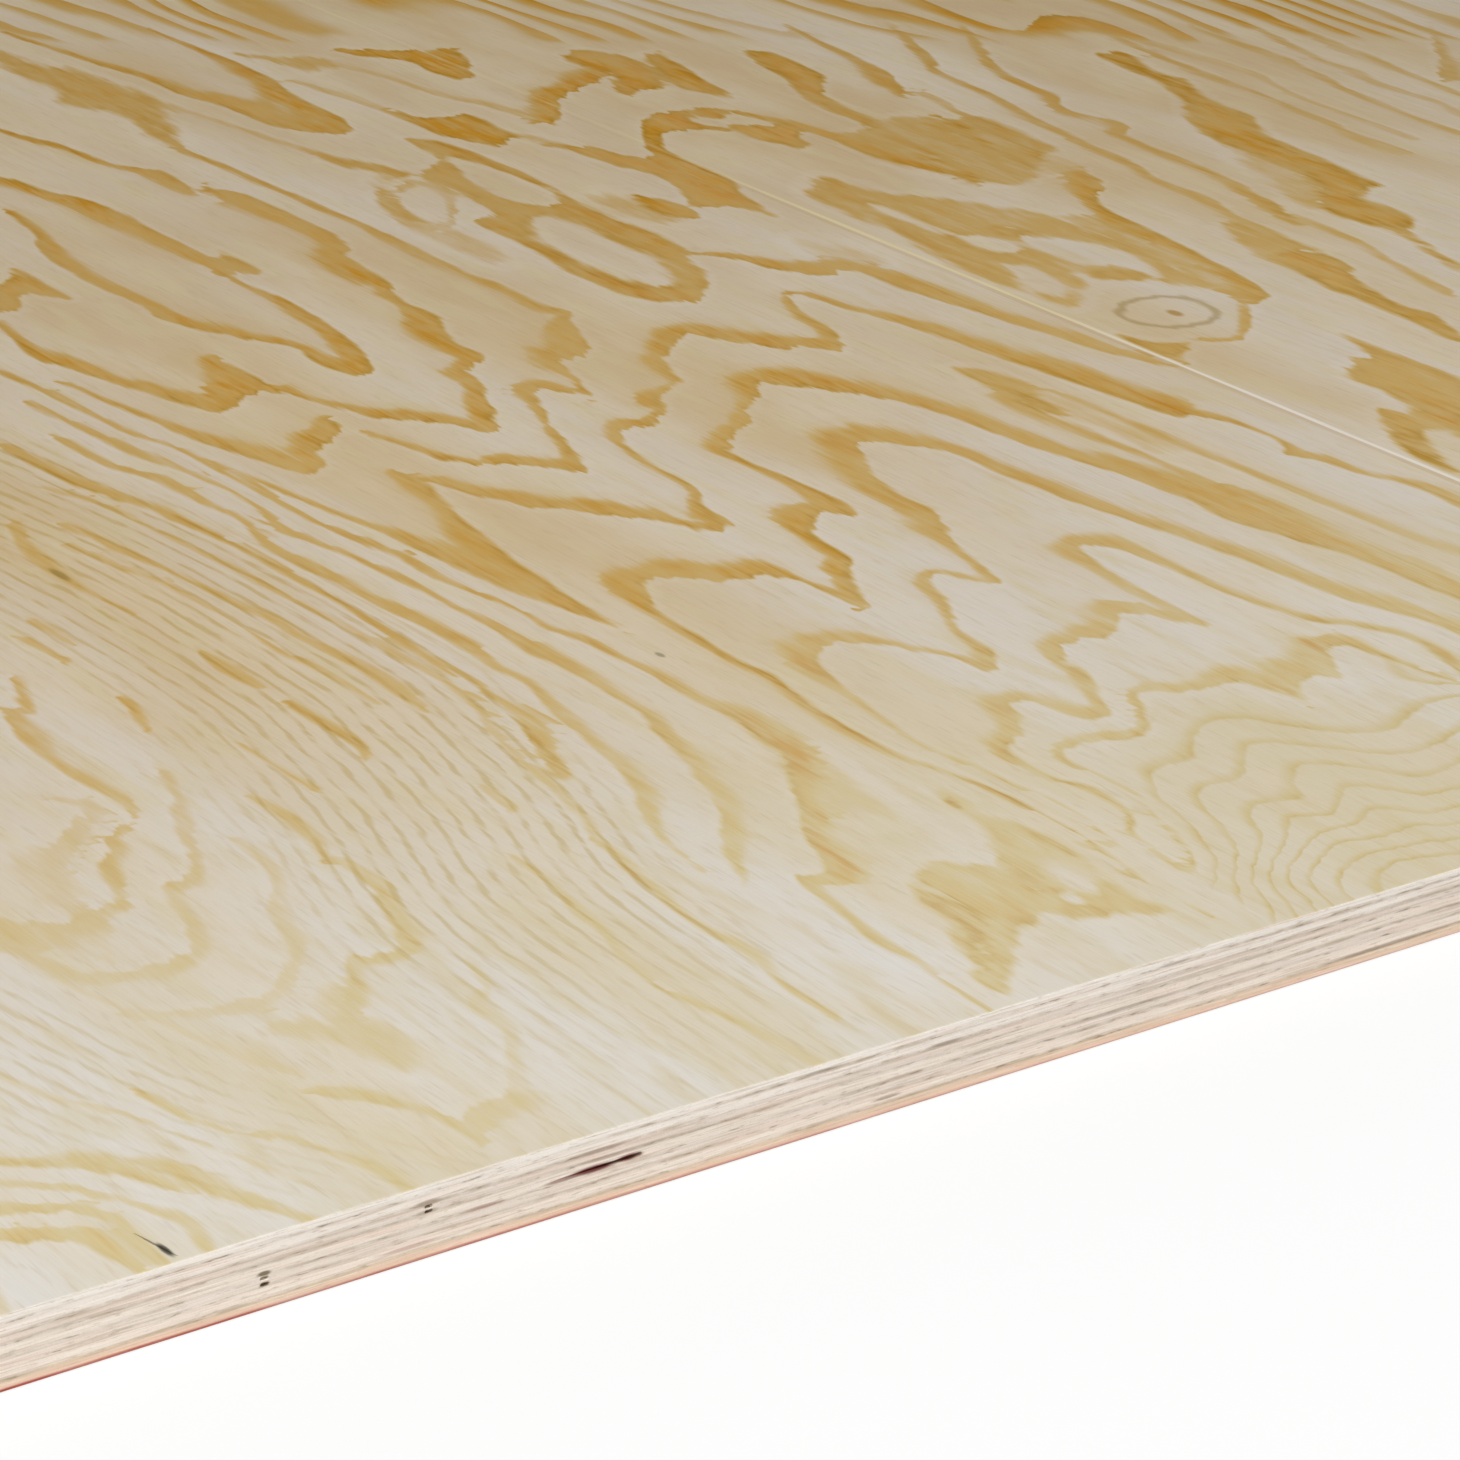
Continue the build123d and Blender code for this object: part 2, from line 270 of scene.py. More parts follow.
 "far line 2": (1, .4, [(425,46,4),(440,49,4),(455,51,5),(470,53,4),(492,55,6)]),
 "far line 3": (-1, .4, [(418,-5,5),(435,-4,4),(455,-1,4),(480,3,4),(500,6,4),(512,9,6)]),
 "tail": (-1, .9, [(484,152,16),(490,140,15),(493,133,13),(500,121,13),(510,112,12),(520,106,12),
   (528,99,12),(527,95,8)]),
 "right 1": (1, .5, [(637,430,6),(650,420,8),(665,409,9)]),
 "right 2": (-1, .4, [(612,408,8),(640,405,6),(660,402,4),(684,400,4)]),
 "right 3": (-1, .4, [(604,392,6),(625,388,6),(640,389,8),(655,385,6),(668,384,5),(690,385,4),(707,382,5)]),
 "right 4": (-1, .5, [(599,378,6),(612,378,8),(625,375,5),(640,373,5),(655,369,4),(680,366,4),
   (700,364,4),(725,364,5)]),
 "right 5": (-1, .35, [(585,353,7),(620,355,6),(640,350,4),(660,347,4),(690,346,4),(720,346,6)]),
 "right 6": (-1, .5, [(575,342,5),(610,339,6),(640,338,4),(665,335,4),(690,334,5),(705,331,7),(730,332,8)]),
 "right 8": (-1, .7, [(538,289,5),(555,281,5),(570,276,5),(590,274,6),(605,273,8),(612,268,8),
   (625,264,6),(640,269,8),(652,268,9),(658,261,6),(680,259,5),(700,258,5),(730,256,6),(742,252,6),
   (757,250,8),(772,245,6),(780,242,4)]),
 "right 8 end": (-1, .5, [(774,248,5),(790,247,5),(810,245,5),(830,240,5),(850,237,5),(868,233,5)]),
 "right 9": (-1, .6, [(523,270,5),(540,264,5),(555,257,5),(590,254,5),(615,250,7),(625,248,6),
   (640,246,5),(660,243,5),(690,241,6),(705,236,5),(720,235,5),(735,236,7),(750,233,7),(765,229,7),
   (785,228,7),(805,226,7)]),
 "right 10": (-1, .7, [(507,244,5),(525,242,6),(542,240,10),(555,234,9),(562,232,7),(571,227,6)]),
 "right 10 end": (-1, .45, [(573,236,6),(585,235,5),(600,231,4),(612,231,4)]),
 "right 13": (-1, .85, [(683,223,2),(690,219,8),(702,216,16),(709,210,14),(715,203,7),(725,199,8),
   (740,196,10),(760,194,9),(780,192,7),(800,189,7),(815,187,10),(828,184,14),(837,179,12),(840,174,5)]),
 "knot arc": (-1, .65, [(822,176,4),(835,171,4),(845,165,4),(855,157,4),(862,149,4),(867,141,4),
   (862,133,4)]),
 "hatch 1": (-1, .75, [(612,232,5),(645,230,5),(655,228,7),(662,221,8),(668,216,4)]),
 "hatch 2": (-1, .85, [(602,219,3),(620,219,5),(638,214,4)]),
 "hatch 3": (-1, .8, [(610,212,4),(622,210,5),(637,204,4)]),
 "hatch 4": (-1, .8, [(603,191,4),(625,190,4),(642,188,4)]),
 "hatch 5": (-1, .95, [(642,185,3),(660,188,5),(668,187,9),(676,182,6)]),
 "hatch 6": (1, .95, [(556,160,3),(570,164,5),(590,168,6),(605,169,9),(620,168,11),(640,170,10),
   (655,174,7),(668,178,4)]),
}
# closed outlines of gold: strength, softness of the edge, and x, y along it
gold_areas = {
 "tongue": (.7, 1.5, [(594,-80),(612,-80),(627,-80),(624,-85),(618,-87),(620,-94),(606,-91),(603,-84)]),
 "lobe": (.85, 1.5, [(574,-147),(600,-146),(616,-147),(606,-153),(602,-158),(612,-164),(617,-169),
   (611,-174),(598,-166),(589,-158),(582,-151)]),
 "loop": (.8, 1.5, [(515,43),(522,49),(540,53),(565,54),(590,54),(612,51),(640,50),(655,52),(682,52),
   (691,50),(694,45),(703,42),(716,38),(727,29),(733,19),(728,12),(718,6),(700,4),(680,5),(663,7),
   (640,8),(622,8),(616,12),(611,19),(598,22),(578,23),(562,21),(556,25),(550,34),(540,40),(528,41)]),
 "under loop": (.35, 3, [(555,20),(562,8),(575,2),(588,-4),(605,-4),(625,-3),(650,-3),(662,-8),(655,-13),
   (635,-13),(615,-15),(598,-11),(580,-7),(568,0),(550,10),(545,18)]),
 "under line": (.6, 1.5, [(562,4),(572,2),(582,-2),(600,-5),(612,-3),(604,-9),(590,-9),(574,-6)]),
 "spur above the joint": (.7, 2, [(503,4),(515,9),(528,13),(540,18),(556,22),(556,15),(541,11),(536,7),
   (524,5)]),
 "far soft": (.6, 3, [(322,-24),(345,-20),(360,-14),(380,-10),(400,-7),(422,-6),(436,-11),(450,-18),
   (465,-24),(480,-31),(468,-33),(452,-30),(438,-27),(425,-29),(415,-35),(400,-37),(385,-31),(365,-33),
   (335,-31)]),
 "far blob": (.55, 2, [(375,48),(392,60),(400,72),(413,75),(418,70),(412,66),(418,61),(405,58),(390,53)]),
 "far wedge": (.95, 1.2, [(420,125),(435,118),(450,111),(461,103),(452,99),(440,97),(427,99),(416,93),
   (405,86),(392,82),(402,95),(411,106)]),
 "blob by the joint": (.95, 1.2, [(498,77),(508,79),(525,78),(536,78),(538,71),(546,64),(536,63),
   (528,58),(520,55),(505,55),(488,56),(478,58),(494,62),(499,69)]),
 "far top 1": (.95, 1.5, [(446,158),(455,166),(470,171),(490,169),(505,163),(512,155),(510,148),
   (514,142),(505,140),(495,146),(485,151),(470,149),(456,150)]),
 "far top 2": (.9, 1.5, [(468,184),(485,182),(500,179),(520,175),(534,172),(539,169),(528,167),(516,163),
   (500,165),(486,171),(470,177)]),
 "joint, dark gold": (1, 1.2, [(540,147),(549,143),(556,141),(563,143),(570,147),(572,141),(565,136),
   (562,130),(565,122),(575,115),(585,112),(605,111),(630,109),(642,104),(655,101),(672,98),(660,95),
   (652,92),(647,84),(646,79),(638,82),(630,86),(615,90),(602,91),(590,87),(575,85),(562,83),(548,79),
   (556,87),(565,92),(580,96),(585,103),(575,108),(560,116),(548,124),(540,133)]),
 "joint, soft line": (.45, 2, [(528,76),(545,79),(562,83),(575,85),(590,88),(580,94),(565,91),(550,86),
   (536,80)]),
 "joint, small dark bit": (.8, 1.5, [(541,149),(549,161),(556,157),(559,152),(550,147)]),
 "joint, small bar": (.95, 1.2, [(622,73),(634,77),(648,79),(657,73),(650,68),(638,67),(628,69)]),
 "joint, halo": (.35, 4, [(612,62),(625,70),(655,70),(656,62),(640,56),(620,56)]),
 "curl": (1, 1.2, [(567,149),(574,160),(577,167),(585,168),(593,161),(603,159),(610,153),(600,151),
   (590,147),(578,147)]),
 "hatch": (.5, 2.5, [(592,203),(600,215),(607,221),(612,232),(645,230),(656,228),(664,220),(680,205),
   (687,194),(684,187),(675,181),(655,173),(635,169),(612,169),(598,172),(602,180),(599,190)]),
 "hatch right": (.35, 3, [(664,219),(684,222),(688,212),(684,206),(676,209)]),
 "right, far tongue": (1, 1.3, [(486,214),(493,220),(508,220),(522,218),(533,216),(541,211),(547,206),
   (554,201),(570,199),(588,198),(597,194),(601,188),(590,190),(570,191),(555,193),(541,197),(528,203),
   (515,205),(500,208)]),
 "right, broad gold": (.9, 2, [(570,331),(586,328),(600,323),(612,326),(630,319),(648,315),(665,314),
   (680,307),(700,301),(730,299),(755,296),(762,291),(766,281),(780,279),(795,278),(804,271),(809,265),
   (820,262),(835,258),(853,253),(848,251),(830,255),(815,260),(800,262),(788,258),(775,258),(764,263),
   (750,274),(735,280),(715,281),(690,282),(665,288),(650,297),(635,307),(610,316),(590,318),(568,321)]),
 "right, soft part of the broad gold": (.45, 4, [(700,282),(765,281),(772,262),(762,256),(745,262),
   (720,270)]),
 "right 9, soft end": (.65, 2.5, [(768,228),(800,227),(812,225),(806,206),(790,209),(775,213),(766,219)]),
 "right 9, dark end": (.95, 1.5, [(805,224),(818,226),(830,222),(843,214),(856,211),(870,209),(880,212),
   (892,208),(910,201),(900,199),(880,201),(860,202),(840,202),(822,205),(806,206),(800,214)]),
 "right 13, soft side": (.45, 4, [(735,190),(770,186),(800,183),(828,178),(820,168),(800,172),(770,172),
   (745,172),(730,178)]),
 "tan ground": (.6, 2.5, [(640,138),(652,143),(672,146),(680,155),(695,163),(710,171),(722,175),
   (745,178),(770,178),(795,175),(818,172),(812,163),(800,160),(792,156),(786,147),(778,142),(790,139),
   (798,132),(806,125),(810,119),(800,117),(788,118),(775,114),(755,113),(740,116),(720,119),(700,121),
   (680,120),(660,121),(648,127)]),
 "tan ground, dark spot 1": (.9, 2, [(720,152),(727,158),(736,161),(739,154),(732,148),(723,146)]),
 "tan ground, dark spot 2": (.85, 2, [(782,148),(785,158),(792,162),(800,158),(796,150),(789,144)]),
 "wedge by the knot": (.85, 1.5, [(856,131),(863,124),(868,117),(876,112),(855,112),(838,113),(848,116),
   (855,121),(858,126)]),
 "right, wedge": (.8, 2, [(878,173),(900,174),(925,175),(940,174),(948,166),(958,160),(968,152),
   (984,141),(976,137),(970,138),(968,132),(975,127),(985,123),(1004,115),(985,114),(970,118),(960,124),
   (950,128),(944,134),(952,143),(935,146),(915,148),(905,157),(900,168)]),
 "arm 1, far end": (.25, 4, [(700,90),(720,98),(735,98),(737,88),(722,84),(705,86)]),
 "finger, tip": (.8, 2, [(836,50),(845,57),(858,58),(868,58),(876,54),(892,51),(888,47),(870,48),(855,47)]),
 "finger, tan inside": (.3, 4, [(870,60),(930,60),(935,54),(880,53)]),
 "left, tan": (.4, 4, [(1030,-169),(1060,-169),(1090,-172),(1112,-176),(1108,-185),(1095,-188),
   (1075,-182),(1050,-176)]),
 "broad gold near the end": (.6, 1.8, [(1107,-158),(1115,-156),(1125,-158),(1133,-155),(1145,-152),
   (1160,-152),(1175,-155),(1188,-157),(1200,-155),(1198,-162),(1192,-170),(1187,-178),(1185,-186),
   (1190,-194),(1198,-202),(1205,-210),(1215,-217),(1205,-219),(1195,-214),(1185,-210),(1175,-205),
   (1160,-203),(1150,-198),(1145,-190),(1143,-184),(1149,-180),(1152,-174),(1149,-169),(1140,-165),
   (1130,-162),(1120,-161)]),
 "broad gold, dark left part": (.8, 2.5, [(1147,-194),(1151,-193),(1159,-194),(1167,-194),(1174,-193),
   (1182,-196),(1188,-200),(1193,-206),(1202,-213),(1204,-216),(1200,-216),(1193,-213),(1184,-208),
   (1177,-204),(1170,-203),(1163,-201),(1155,-199)]),
 "broad gold, dark top": (.7, 2.5, [(1129,-159),(1132,-156),(1136,-153),(1143,-152),(1152,-152),
   (1161,-153),(1170,-154),(1179,-155),(1189,-157),(1186,-160),(1177,-160),(1166,-158),(1159,-158),
   (1154,-159),(1145,-157),(1139,-159),(1147,-167),(1144,-167),(1137,-162)]),
 "broad gold, dark middle": (.75, 2, [(1154,-173),(1156,-171),(1161,-170),(1167,-170),(1172,-169),
   (1176,-168),(1176,-172),(1175,-175),(1170,-176),(1166,-178),(1160,-177)]),
 "broad gold, dark low part": (.7, 2, [(1179,-177),(1181,-174),(1183,-170),(1184,-167),(1190,-167),
   (1193,-166),(1193,-171),(1190,-176),(1186,-179)]),
 "broad gold, tip": (.95, 1.5, [(1110,-158),(1112,-157),(1117,-157),(1122,-158),(1121,-161),(1116,-161)]),
 "corner blotch": (.4, 3, [(1118,-343),(1126,-343),(1135,-349),(1145,-347),(1155,-345),(1168,-348),
   (1171,-354),(1160,-358),(1148,-360),(1141,-364),(1136,-371),(1131,-369),(1130,-361),(1137,-357),
   (1128,-353),(1120,-348)]),
 "left, soft patch": (.3, 4, [(1010,-364),(1030,-368),(1045,-372),(1040,-380),(1025,-378),(1012,-372)]),
}
# pale islands in them: softness of the edge, and x, y along it
pale_islands = {
 "loop, eye": (1.5, [(545,45),(560,48),(580,50),(600,50),(612,46),(615,40),(607,34),(590,31),(577,33),
   (562,37),(548,41)]),
 "loop, inner ground": (3, [(624,33),(640,36),(665,36),(690,35),(705,31),(715,25),(713,19),(700,15),
   (680,14),(655,14),(640,17),(628,23)]),
 "tan ground 1": (2, [(725,138),(730,144),(740,146),(748,144),(750,138),(742,134),(730,134)]),
 "tan ground 2": (2, [(738,152),(742,161),(755,168),(775,171),(790,168),(802,163),(790,161),(780,157),
   (775,150),(760,149),(745,149)]),
 "tan ground 3": (2, [(758,131),(765,135),(780,133),(790,130),(798,126),(795,122),(785,120),(775,122),
   (765,127)]),
 "tan ground 4": (1.5, [(675,134),(700,136),(724,135),(720,132),(700,131),(685,131)]),
 "broad gold, light spot": (3, [(1159,-162),(1160,-159),(1167,-158),(1176,-159),(1181,-164),(1177,-167),
   (1169,-166)]),
 "broad gold, fleck": (1, [(1174,-171),(1180,-169),(1186,-171),(1180,-173)]),
}
print("traced", len(gold_bands), "bands,", len(gold_areas), "gold areas and",
      len(pale_islands), "pale islands")

# %% [markdown]
# The traced curves become a distance field over the face: how far each point lies inside the nearest
# gold band, in millimetres, negative outside. Distances can be held on a mesh of coarse squares and still
# give a crisp edge anywhere between its points, which painted colours can't. Each curve is rounded first,
# through its points, so a few points are enough for a long bend.

# %% Distance field of the figure
# mm between points on a rounded curve, and blur of a band's sharp edge
curve_step = 4.0
sharp_blur = 1.1
# a band's soft edge: its middle and its half length, counted in the band's width
soft_middle = 0.9
soft_half = 0.38
# a band that ends this near the border of the traced part goes on past it by this length
border_reach = 14.0
carried_length = 45.0
traced_part = [(323, -23, 0), (641, 439, 0), (1220, -80, 0), (1240, -90, 0), (1240, -500, 0),
               (1222, -485, 0), (323, -23, 0)]
# round these places, out to that distance, the teeth stay short: the knot and two smooth parts
smooth_spots = [((833, 143), 34), ((1160, -75), 70), ((1100, 40), 50)]
smooth_lean = 0.15
smooth_fade = 12
# how far round a curve its gold can matter, and round an island
gold_margin = 30
island_margin = 12
# values for places far from any gold: past the sharp edge and past the soft one
no_sharp = -12.0
no_soft = -4.0


def rounded(points, closed):
    """The smooth curve through the points, cut into short straight pieces."""
    p = np.array(points, float)
    if closed:
        p = np.vstack([p[-1:], p, p[:2]])
    else:
        p = np.vstack([2 * p[:1] - p[1:2], p, 2 * p[-1:] - p[-2:-1]])
    pieces = []
    for a, b, c, d in zip(p, p[1:], p[2:], p[3:]):
        count = max(2, int(np.ceil(np.hypot(*(c - b)[:2]) / curve_step)))
        t = np.linspace(0, 1, count, endpoint=False)[:, None]
        pieces.append(0.5 * (2 * b + (c - a) * t + (2 * a - 5 * b + 4 * c - d) * t ** 2
                             + (3 * b - a - 3 * c + d) * t ** 3))
    pieces.append(p[1:2] if closed else p[-2:-1])
    return np.vstack(pieces)


def nearest(places, curve):
    """For each place: distance to the curve, its side (1 left, -1 right), width there, and lean along X."""
    best = np.full(len(places), 1e9)
    side = np.ones(len(places))
    wide = np.zeros(len(places))
    lean = np.zeros(len(places))
    for a, b in zip(curve, curve[1:]):
        run = (b - a)[:2]
        reach = places - a[:2]
        t = np.clip(reach @ run / (run @ run + 1e-9), 0, 1)
        off = reach - t[:, None] * run
        gap = (off ** 2).sum(1)
        closer = gap < best
        best = np.where(closer, gap, best)
        side = np.where(closer, np.sign(run[0] * reach[:, 1] - run[1] * reach[:, 0] + 1e-12), side)
        lean = np.where(closer, off[:, 0], lean)
        if len(a) > 2:
            wide = np.where(closer, a[2] + (b[2] - a[2]) * t, wide)
    best = np.sqrt(best)
    return best, side, np.maximum(wide, 1), lean / np.maximum(best, 1e-3)


def inside(places, curve):
    """Whether each place lies inside the closed curve."""
    odd = np.zeros(len(places), bool)
    for a, b in zip(curve, curve[1:]):
        spans = (a[1] > places[:, 1]) != (b[1] > places[:, 1])
        crossing = a[0] + (b[0] - a[0]) * (places[:, 1] - a[1]) / (b[1] - a[1] + 1e-12)
        odd ^= spans & (places[:, 0] < crossing)
    return odd


def step(value):
    """A smooth rise from 0 to 1 while the value goes from -1 to 1."""
    t = np.clip(value / 2 + 0.5, 0, 1)
    return t * t * (3 - 2 * t)


def carried_on(points):
    """A band's points, with one more past each end that the border of the photograph cut off."""
    p = np.array(points, float)
    border = np.array(traced_part, float)
    for end, before in ((0, 1), (-1, -2)):
        if nearest(p[end:end + 1 or None, :2], border)[0][0] < border_reach:
            run = p[end] - p[before]
            further = p[end] + run / np.hypot(*run[:2]) * carried_length
            further[2] = p[end][2] / 2
            # a band that only runs along the border stays as it is
            if nearest(further[None, :2], border)[0][0] > carried_length / 2:
                p = np.vstack([[further], p] if end == 0 else [p, [further]])
    return p


def figure(places):
    """What the shader needs at each place in mm, as distances into the gold counted in edge blurs:
    from the sharp edge, from the soft edge, lean of the sharp edge along the grain, strength of the gold.
    The number of the curve that each place belongs to comes last."""
    sharp = np.full(len(places), no_sharp)
    soft = np.full(len(places), -1.0)
    lean = np.zeros(len(places))
    strength = np.zeros(len(places))
    depth = np.full(len(places), -float(gold_margin))
    tone = np.zeros(len(places))
    owner = np.zeros(len(places), int)

    def near(curve, margin=gold_margin):
        """Numbers of the places that lie near the curve."""
        lo = curve[:, :2].min(0) - margin
        hi = curve[:, :2].max(0) + margin
        return np.nonzero(((places > lo) & (places < hi)).all(1))[0]

    def keep(at, new_sharp, new_soft, new_lean, new_depth, new_strength):
        """Takes over the values of one curve where it lays more gold, or where it is the nearest."""
        new_tone = new_strength * step(new_sharp) * step(new_soft)
        better = (new_tone > tone[at]) | ((new_tone <= 0) & (tone[at] <= 0) & (new_depth > depth[at]))
        chosen = at[better]
        sharp[chosen] = new_sharp[better]
        soft[chosen] = new_soft[better]
        lean[chosen] = new_lean[better]
        depth[chosen] = new_depth[better]
        strength[chosen] = new_strength
        tone[chosen] = new_tone[better]
        owner[chosen] = owner.max() + 1

    for side, strong, points in gold_bands.values():
        curve = rounded(carried_on(points), False)
        at = near(curve)
        if len(at):
            gap, hand, wide, slope = nearest(places[at], curve)
            hand = hand * side
            from_sharp = gap * hand
            to_soft = soft_middle * wide - from_sharp
            keep(at, from_sharp / sharp_blur, to_soft / (soft_half * wide), slope * hand / sharp_blur,
                 np.minimum(from_sharp, to_soft), strong)
    for strong, edge_blur, points in gold_areas.values():
        curve = rounded(points, True)
        at = near(curve)
        if len(at):
            gap, _, _, slope = nearest(places[at], curve)
            hand = np.where(inside(places[at], curve), 1, -1)
            keep(at, gap * hand / edge_blur, np.ones(len(at)), slope * hand / edge_blur, gap * hand, strong)
    for edge_blur, points in pale_islands.values():
        curve = rounded(points, True)
        at = near(curve, island_margin)
        if len(at):
            gap, _, _, slope = nearest(places[at], curve)
            hand = np.where(inside(places[at], curve), -1, 1)
            cut = (gap * hand < depth[at])
            chosen = at[cut]
            sharp[chosen] = (gap * hand / edge_blur)[cut]
            lean[chosen] = (slope * hand / edge_blur)[cut]
            depth[chosen] = (gap * hand)[cut]
    # far outside one edge, the other one says outside too, so no false band shows between two bands
    soft = np.where(sharp < -2.5 - 3 * np.abs(lean), no_soft, soft)
    sharp = np.where(soft < -3, np.minimum(sharp, -1), sharp)
    for spot, reach in smooth_spots:
        away = np.hypot(*(places - spot).T)
        lean = lean * (smooth_lean + (1 - smooth_lean) * step((away - reach) / smooth_fade))
    return np.clip(sharp, no_sharp, 6), np.clip(soft, no_soft, 1.2), lean, strength, owner


knot_spot = np.array([smooth_spots[0][0]], float)
print("distance field ready; gold", round(float(figure(knot_spot)[3][0]), 2), "beside the knot")

# %% [markdown]
# Two parts of the face have rings so close that a width for each would say little. There the rings are
# levels, as on a map: a smooth sheet is laid through the traced lines, each at its own whole number, and
# the shader draws a line wherever the sheet passes one. Left of them, the fine lines just follow a guide.

# %% Close rings as levels
# places on each ring of the fan by the ring's number, and the fan's outline
fan_rings = {
    7: [(1125, 6), (1095, 12), (1072, 0), (1055, -77), (1085, -85), (1094, -92), (1075, -101),
        (1085, -112), (1097, -126)],
    8: [(1130, 2), (1100, -3), (1108, -37), (1093, -55), (1084, -72), (1105, -86), (1109, -93),
        (1104, -110), (1125, -117), (1150, -121), (1175, -129), (1190, -139)],
    9: [(1137, -2), (1137, -20), (1144, -38), (1128, -55), (1112, -70), (1131, -91), (1128, -98),
        (1143, -113), (1172, -122), (1194, -138)],
    10: [(1155, -22), (1158, -43), (1143, -58), (1130, -71), (1147, -90), (1145, -97), (1152, -107),
         (1182, -119), (1200, -134)],
    11: [(1171, -37), (1172, -50), (1148, -70), (1167, -84), (1162, -95), (1176, -106), (1200, -128),
         (1212, -134)],
    12: [(1183, -48), (1181, -58), (1166, -70), (1178, -84), (1172, -94), (1181, -102), (1201, -125),
         (1214, -129)],
    13: [(1192, -56), (1190, -66), (1180, -76), (1185, -90), (1198, -116), (1214, -123)],
    14: [(1200, -63), (1195, -72), (1196, -84), (1192, -96), (1203, -113), (1216, -119)],
    15: [(1207, -70), (1203, -84), (1203, -98), (1215, -113)],
    16: [(1214, -76), (1209, -90), (1220, -104)],
}
fan_border = [(1102, 0), (1135, 4), (1225, -72), (1225, -140), (1196, -138), (1172, -128), (1145, -119),
              (1118, -112), (1112, -96), (1098, -76), (1104, -58), (1122, -44), (1116, -12), (1102, 0)]
# guides that fine lines follow, mm from one line to the next, and how far past its guide each kind reaches
left_guide = [(640, -232), (690, -224), (760, -216), (850, -206), (950, -204), (1000, -210), (1060, -222),
              (1110, -236), (1160, -240), (1240, -243)]
corner_guide = [(1000, -392), (1050, -401), (1100, -397), (1150, -386), (1190, -368), (1240, -345)]
left_reach = 95
corner_reach = 60
left_pitch = 5.3
hatch_pitch = 11.0
hatch_strength = 0.2
# the fine lines start that far past their guide and fade over that length; along X they set in, and
# towards the sawn end some of their strength goes
guide_gap = 6
guide_fade = 25
fine_start = 690
fine_rise = 50
end_start = 1150
end_fall = 40
end_loss = 0.6
# the fan: strength of its rings, how far outside its outline it is worked out, and step of its slope
fan_strength = 0.62
fan_margin = 8
fan_probe = 0.5


def laid_sheet(rings, places):
    """A smooth sheet through the rings, by thin-plate splines."""
    spots = np.array([spot for ring in rings.values() for spot in ring], float)
    level = np.array([number for number, ring in rings.items() for _ in ring], float)

    def bend(a, b):
        """How far each spot of one set bends the sheet at each spot of the other."""
        gap = ((a[:, None] - b[None]) ** 2).sum(2) + 1e-6
        return gap * np.log(gap) / 1e4

    flat = np.hstack([np.ones((len(spots), 1)), spots / 100])
    whole = np.block([[bend(spots, spots) + 0.002 * np.eye(len(spots)), flat], [flat.T, np.zeros((3, 3))]])
    weights = np.linalg.solve(whole, np.concatenate([level, np.zeros(3)]))
    level_part = np.hstack([np.ones((len(places), 1)), places / 100]) @ weights[-3:]
    return bend(places, spots) @ weights[:-3] + level_part


def close_rings(places):
    """Level of the close rings at each place, mm from one to the next, and their strength, which is
    negative where the rings are soft on one side instead of thin lines."""
    level = np.zeros(len(places))
    pitch = np.full(len(places), left_pitch)
    strength = np.zeros(len(places))
    for guide, reach, strong in ((left_guide, left_reach, 0.5), (corner_guide, corner_reach, 0.35)):
        gap, hand, _, _ = nearest(places, rounded(guide, False))
        below = -gap * hand
        share = strong * step((below - guide_gap) / guide_gap) * (1 - step((below - reach) / guide_fade))
        share = share * step((places[:, 0] - fine_start) / fine_rise)
        share = share * (1 - end_loss * step((places[:, 0] - end_start) / end_fall))
        here = share > strength
        level = np.where(here, below / left_pitch, level)
        strength = np.where(here, share, strength)
    # broken lines, nearly along the grain, inside the hatched area
    border = rounded(gold_areas["hatch"][2], True)
    deep = nearest(places, border)[0] * np.where(inside(places, border), 1, -1)
    here = deep > -3
    level = np.where(here, (places[:, 1] + 0.1 * places[:, 0]) / hatch_pitch, level)
    pitch = np.where(here, hatch_pitch, pitch)
    strength = np.where(here, hatch_strength * step(deep / 3), strength)
    border = np.array(fan_border, float)
    gap = nearest(places, border)[0]
    deep = np.where(inside(places, border), gap, -gap)
    at = np.nonzero(deep > -fan_margin)[0]
    level[at] = laid_sheet(fan_rings, places[at])
    ahead = laid_sheet(fan_rings, places[at] + (fan_probe, 0)) - level[at]
    aside = laid_sheet(fan_rings, places[at] + (0, fan_probe)) - level[at]
    pitch[at] = fan_probe / np.maximum(np.hypot(ahead, aside), 0.01)
    strength[at] = -fan_strength * step(deep[at] / 4)
    return level, pitch, strength


tip_level = close_rings(np.array(fan_rings[9][:1], float))[0][0]
print("close rings ready; ring 9 of the fan lies at level", round(float(tip_level), 2))

# %% [markdown]
# The figure is traced only where the photograph shows the face. Past that, a noise draws rings of the
# same kind. The traced part ends along the photograph's borders as they fall on the sheet, and the two
# kinds of figure fade into each other over some five centimetres, outside the picture.

# %% Dense meshes for the two face leaves
# mm over which the traced figure fades out, radius of the sanded arris, and its grid lines from the edge
fade = 55.0
arris = 0.3
arris_lines = np.array([0, 0.04, 0.15])
# the drying check near the left corner, in mm and degrees
check_middle = (1210.5, -442.5)
check_length = 15.0
check_width = 0.7
check_depth = 1.2
check_slope = 10.0
check_clearance = 2.2


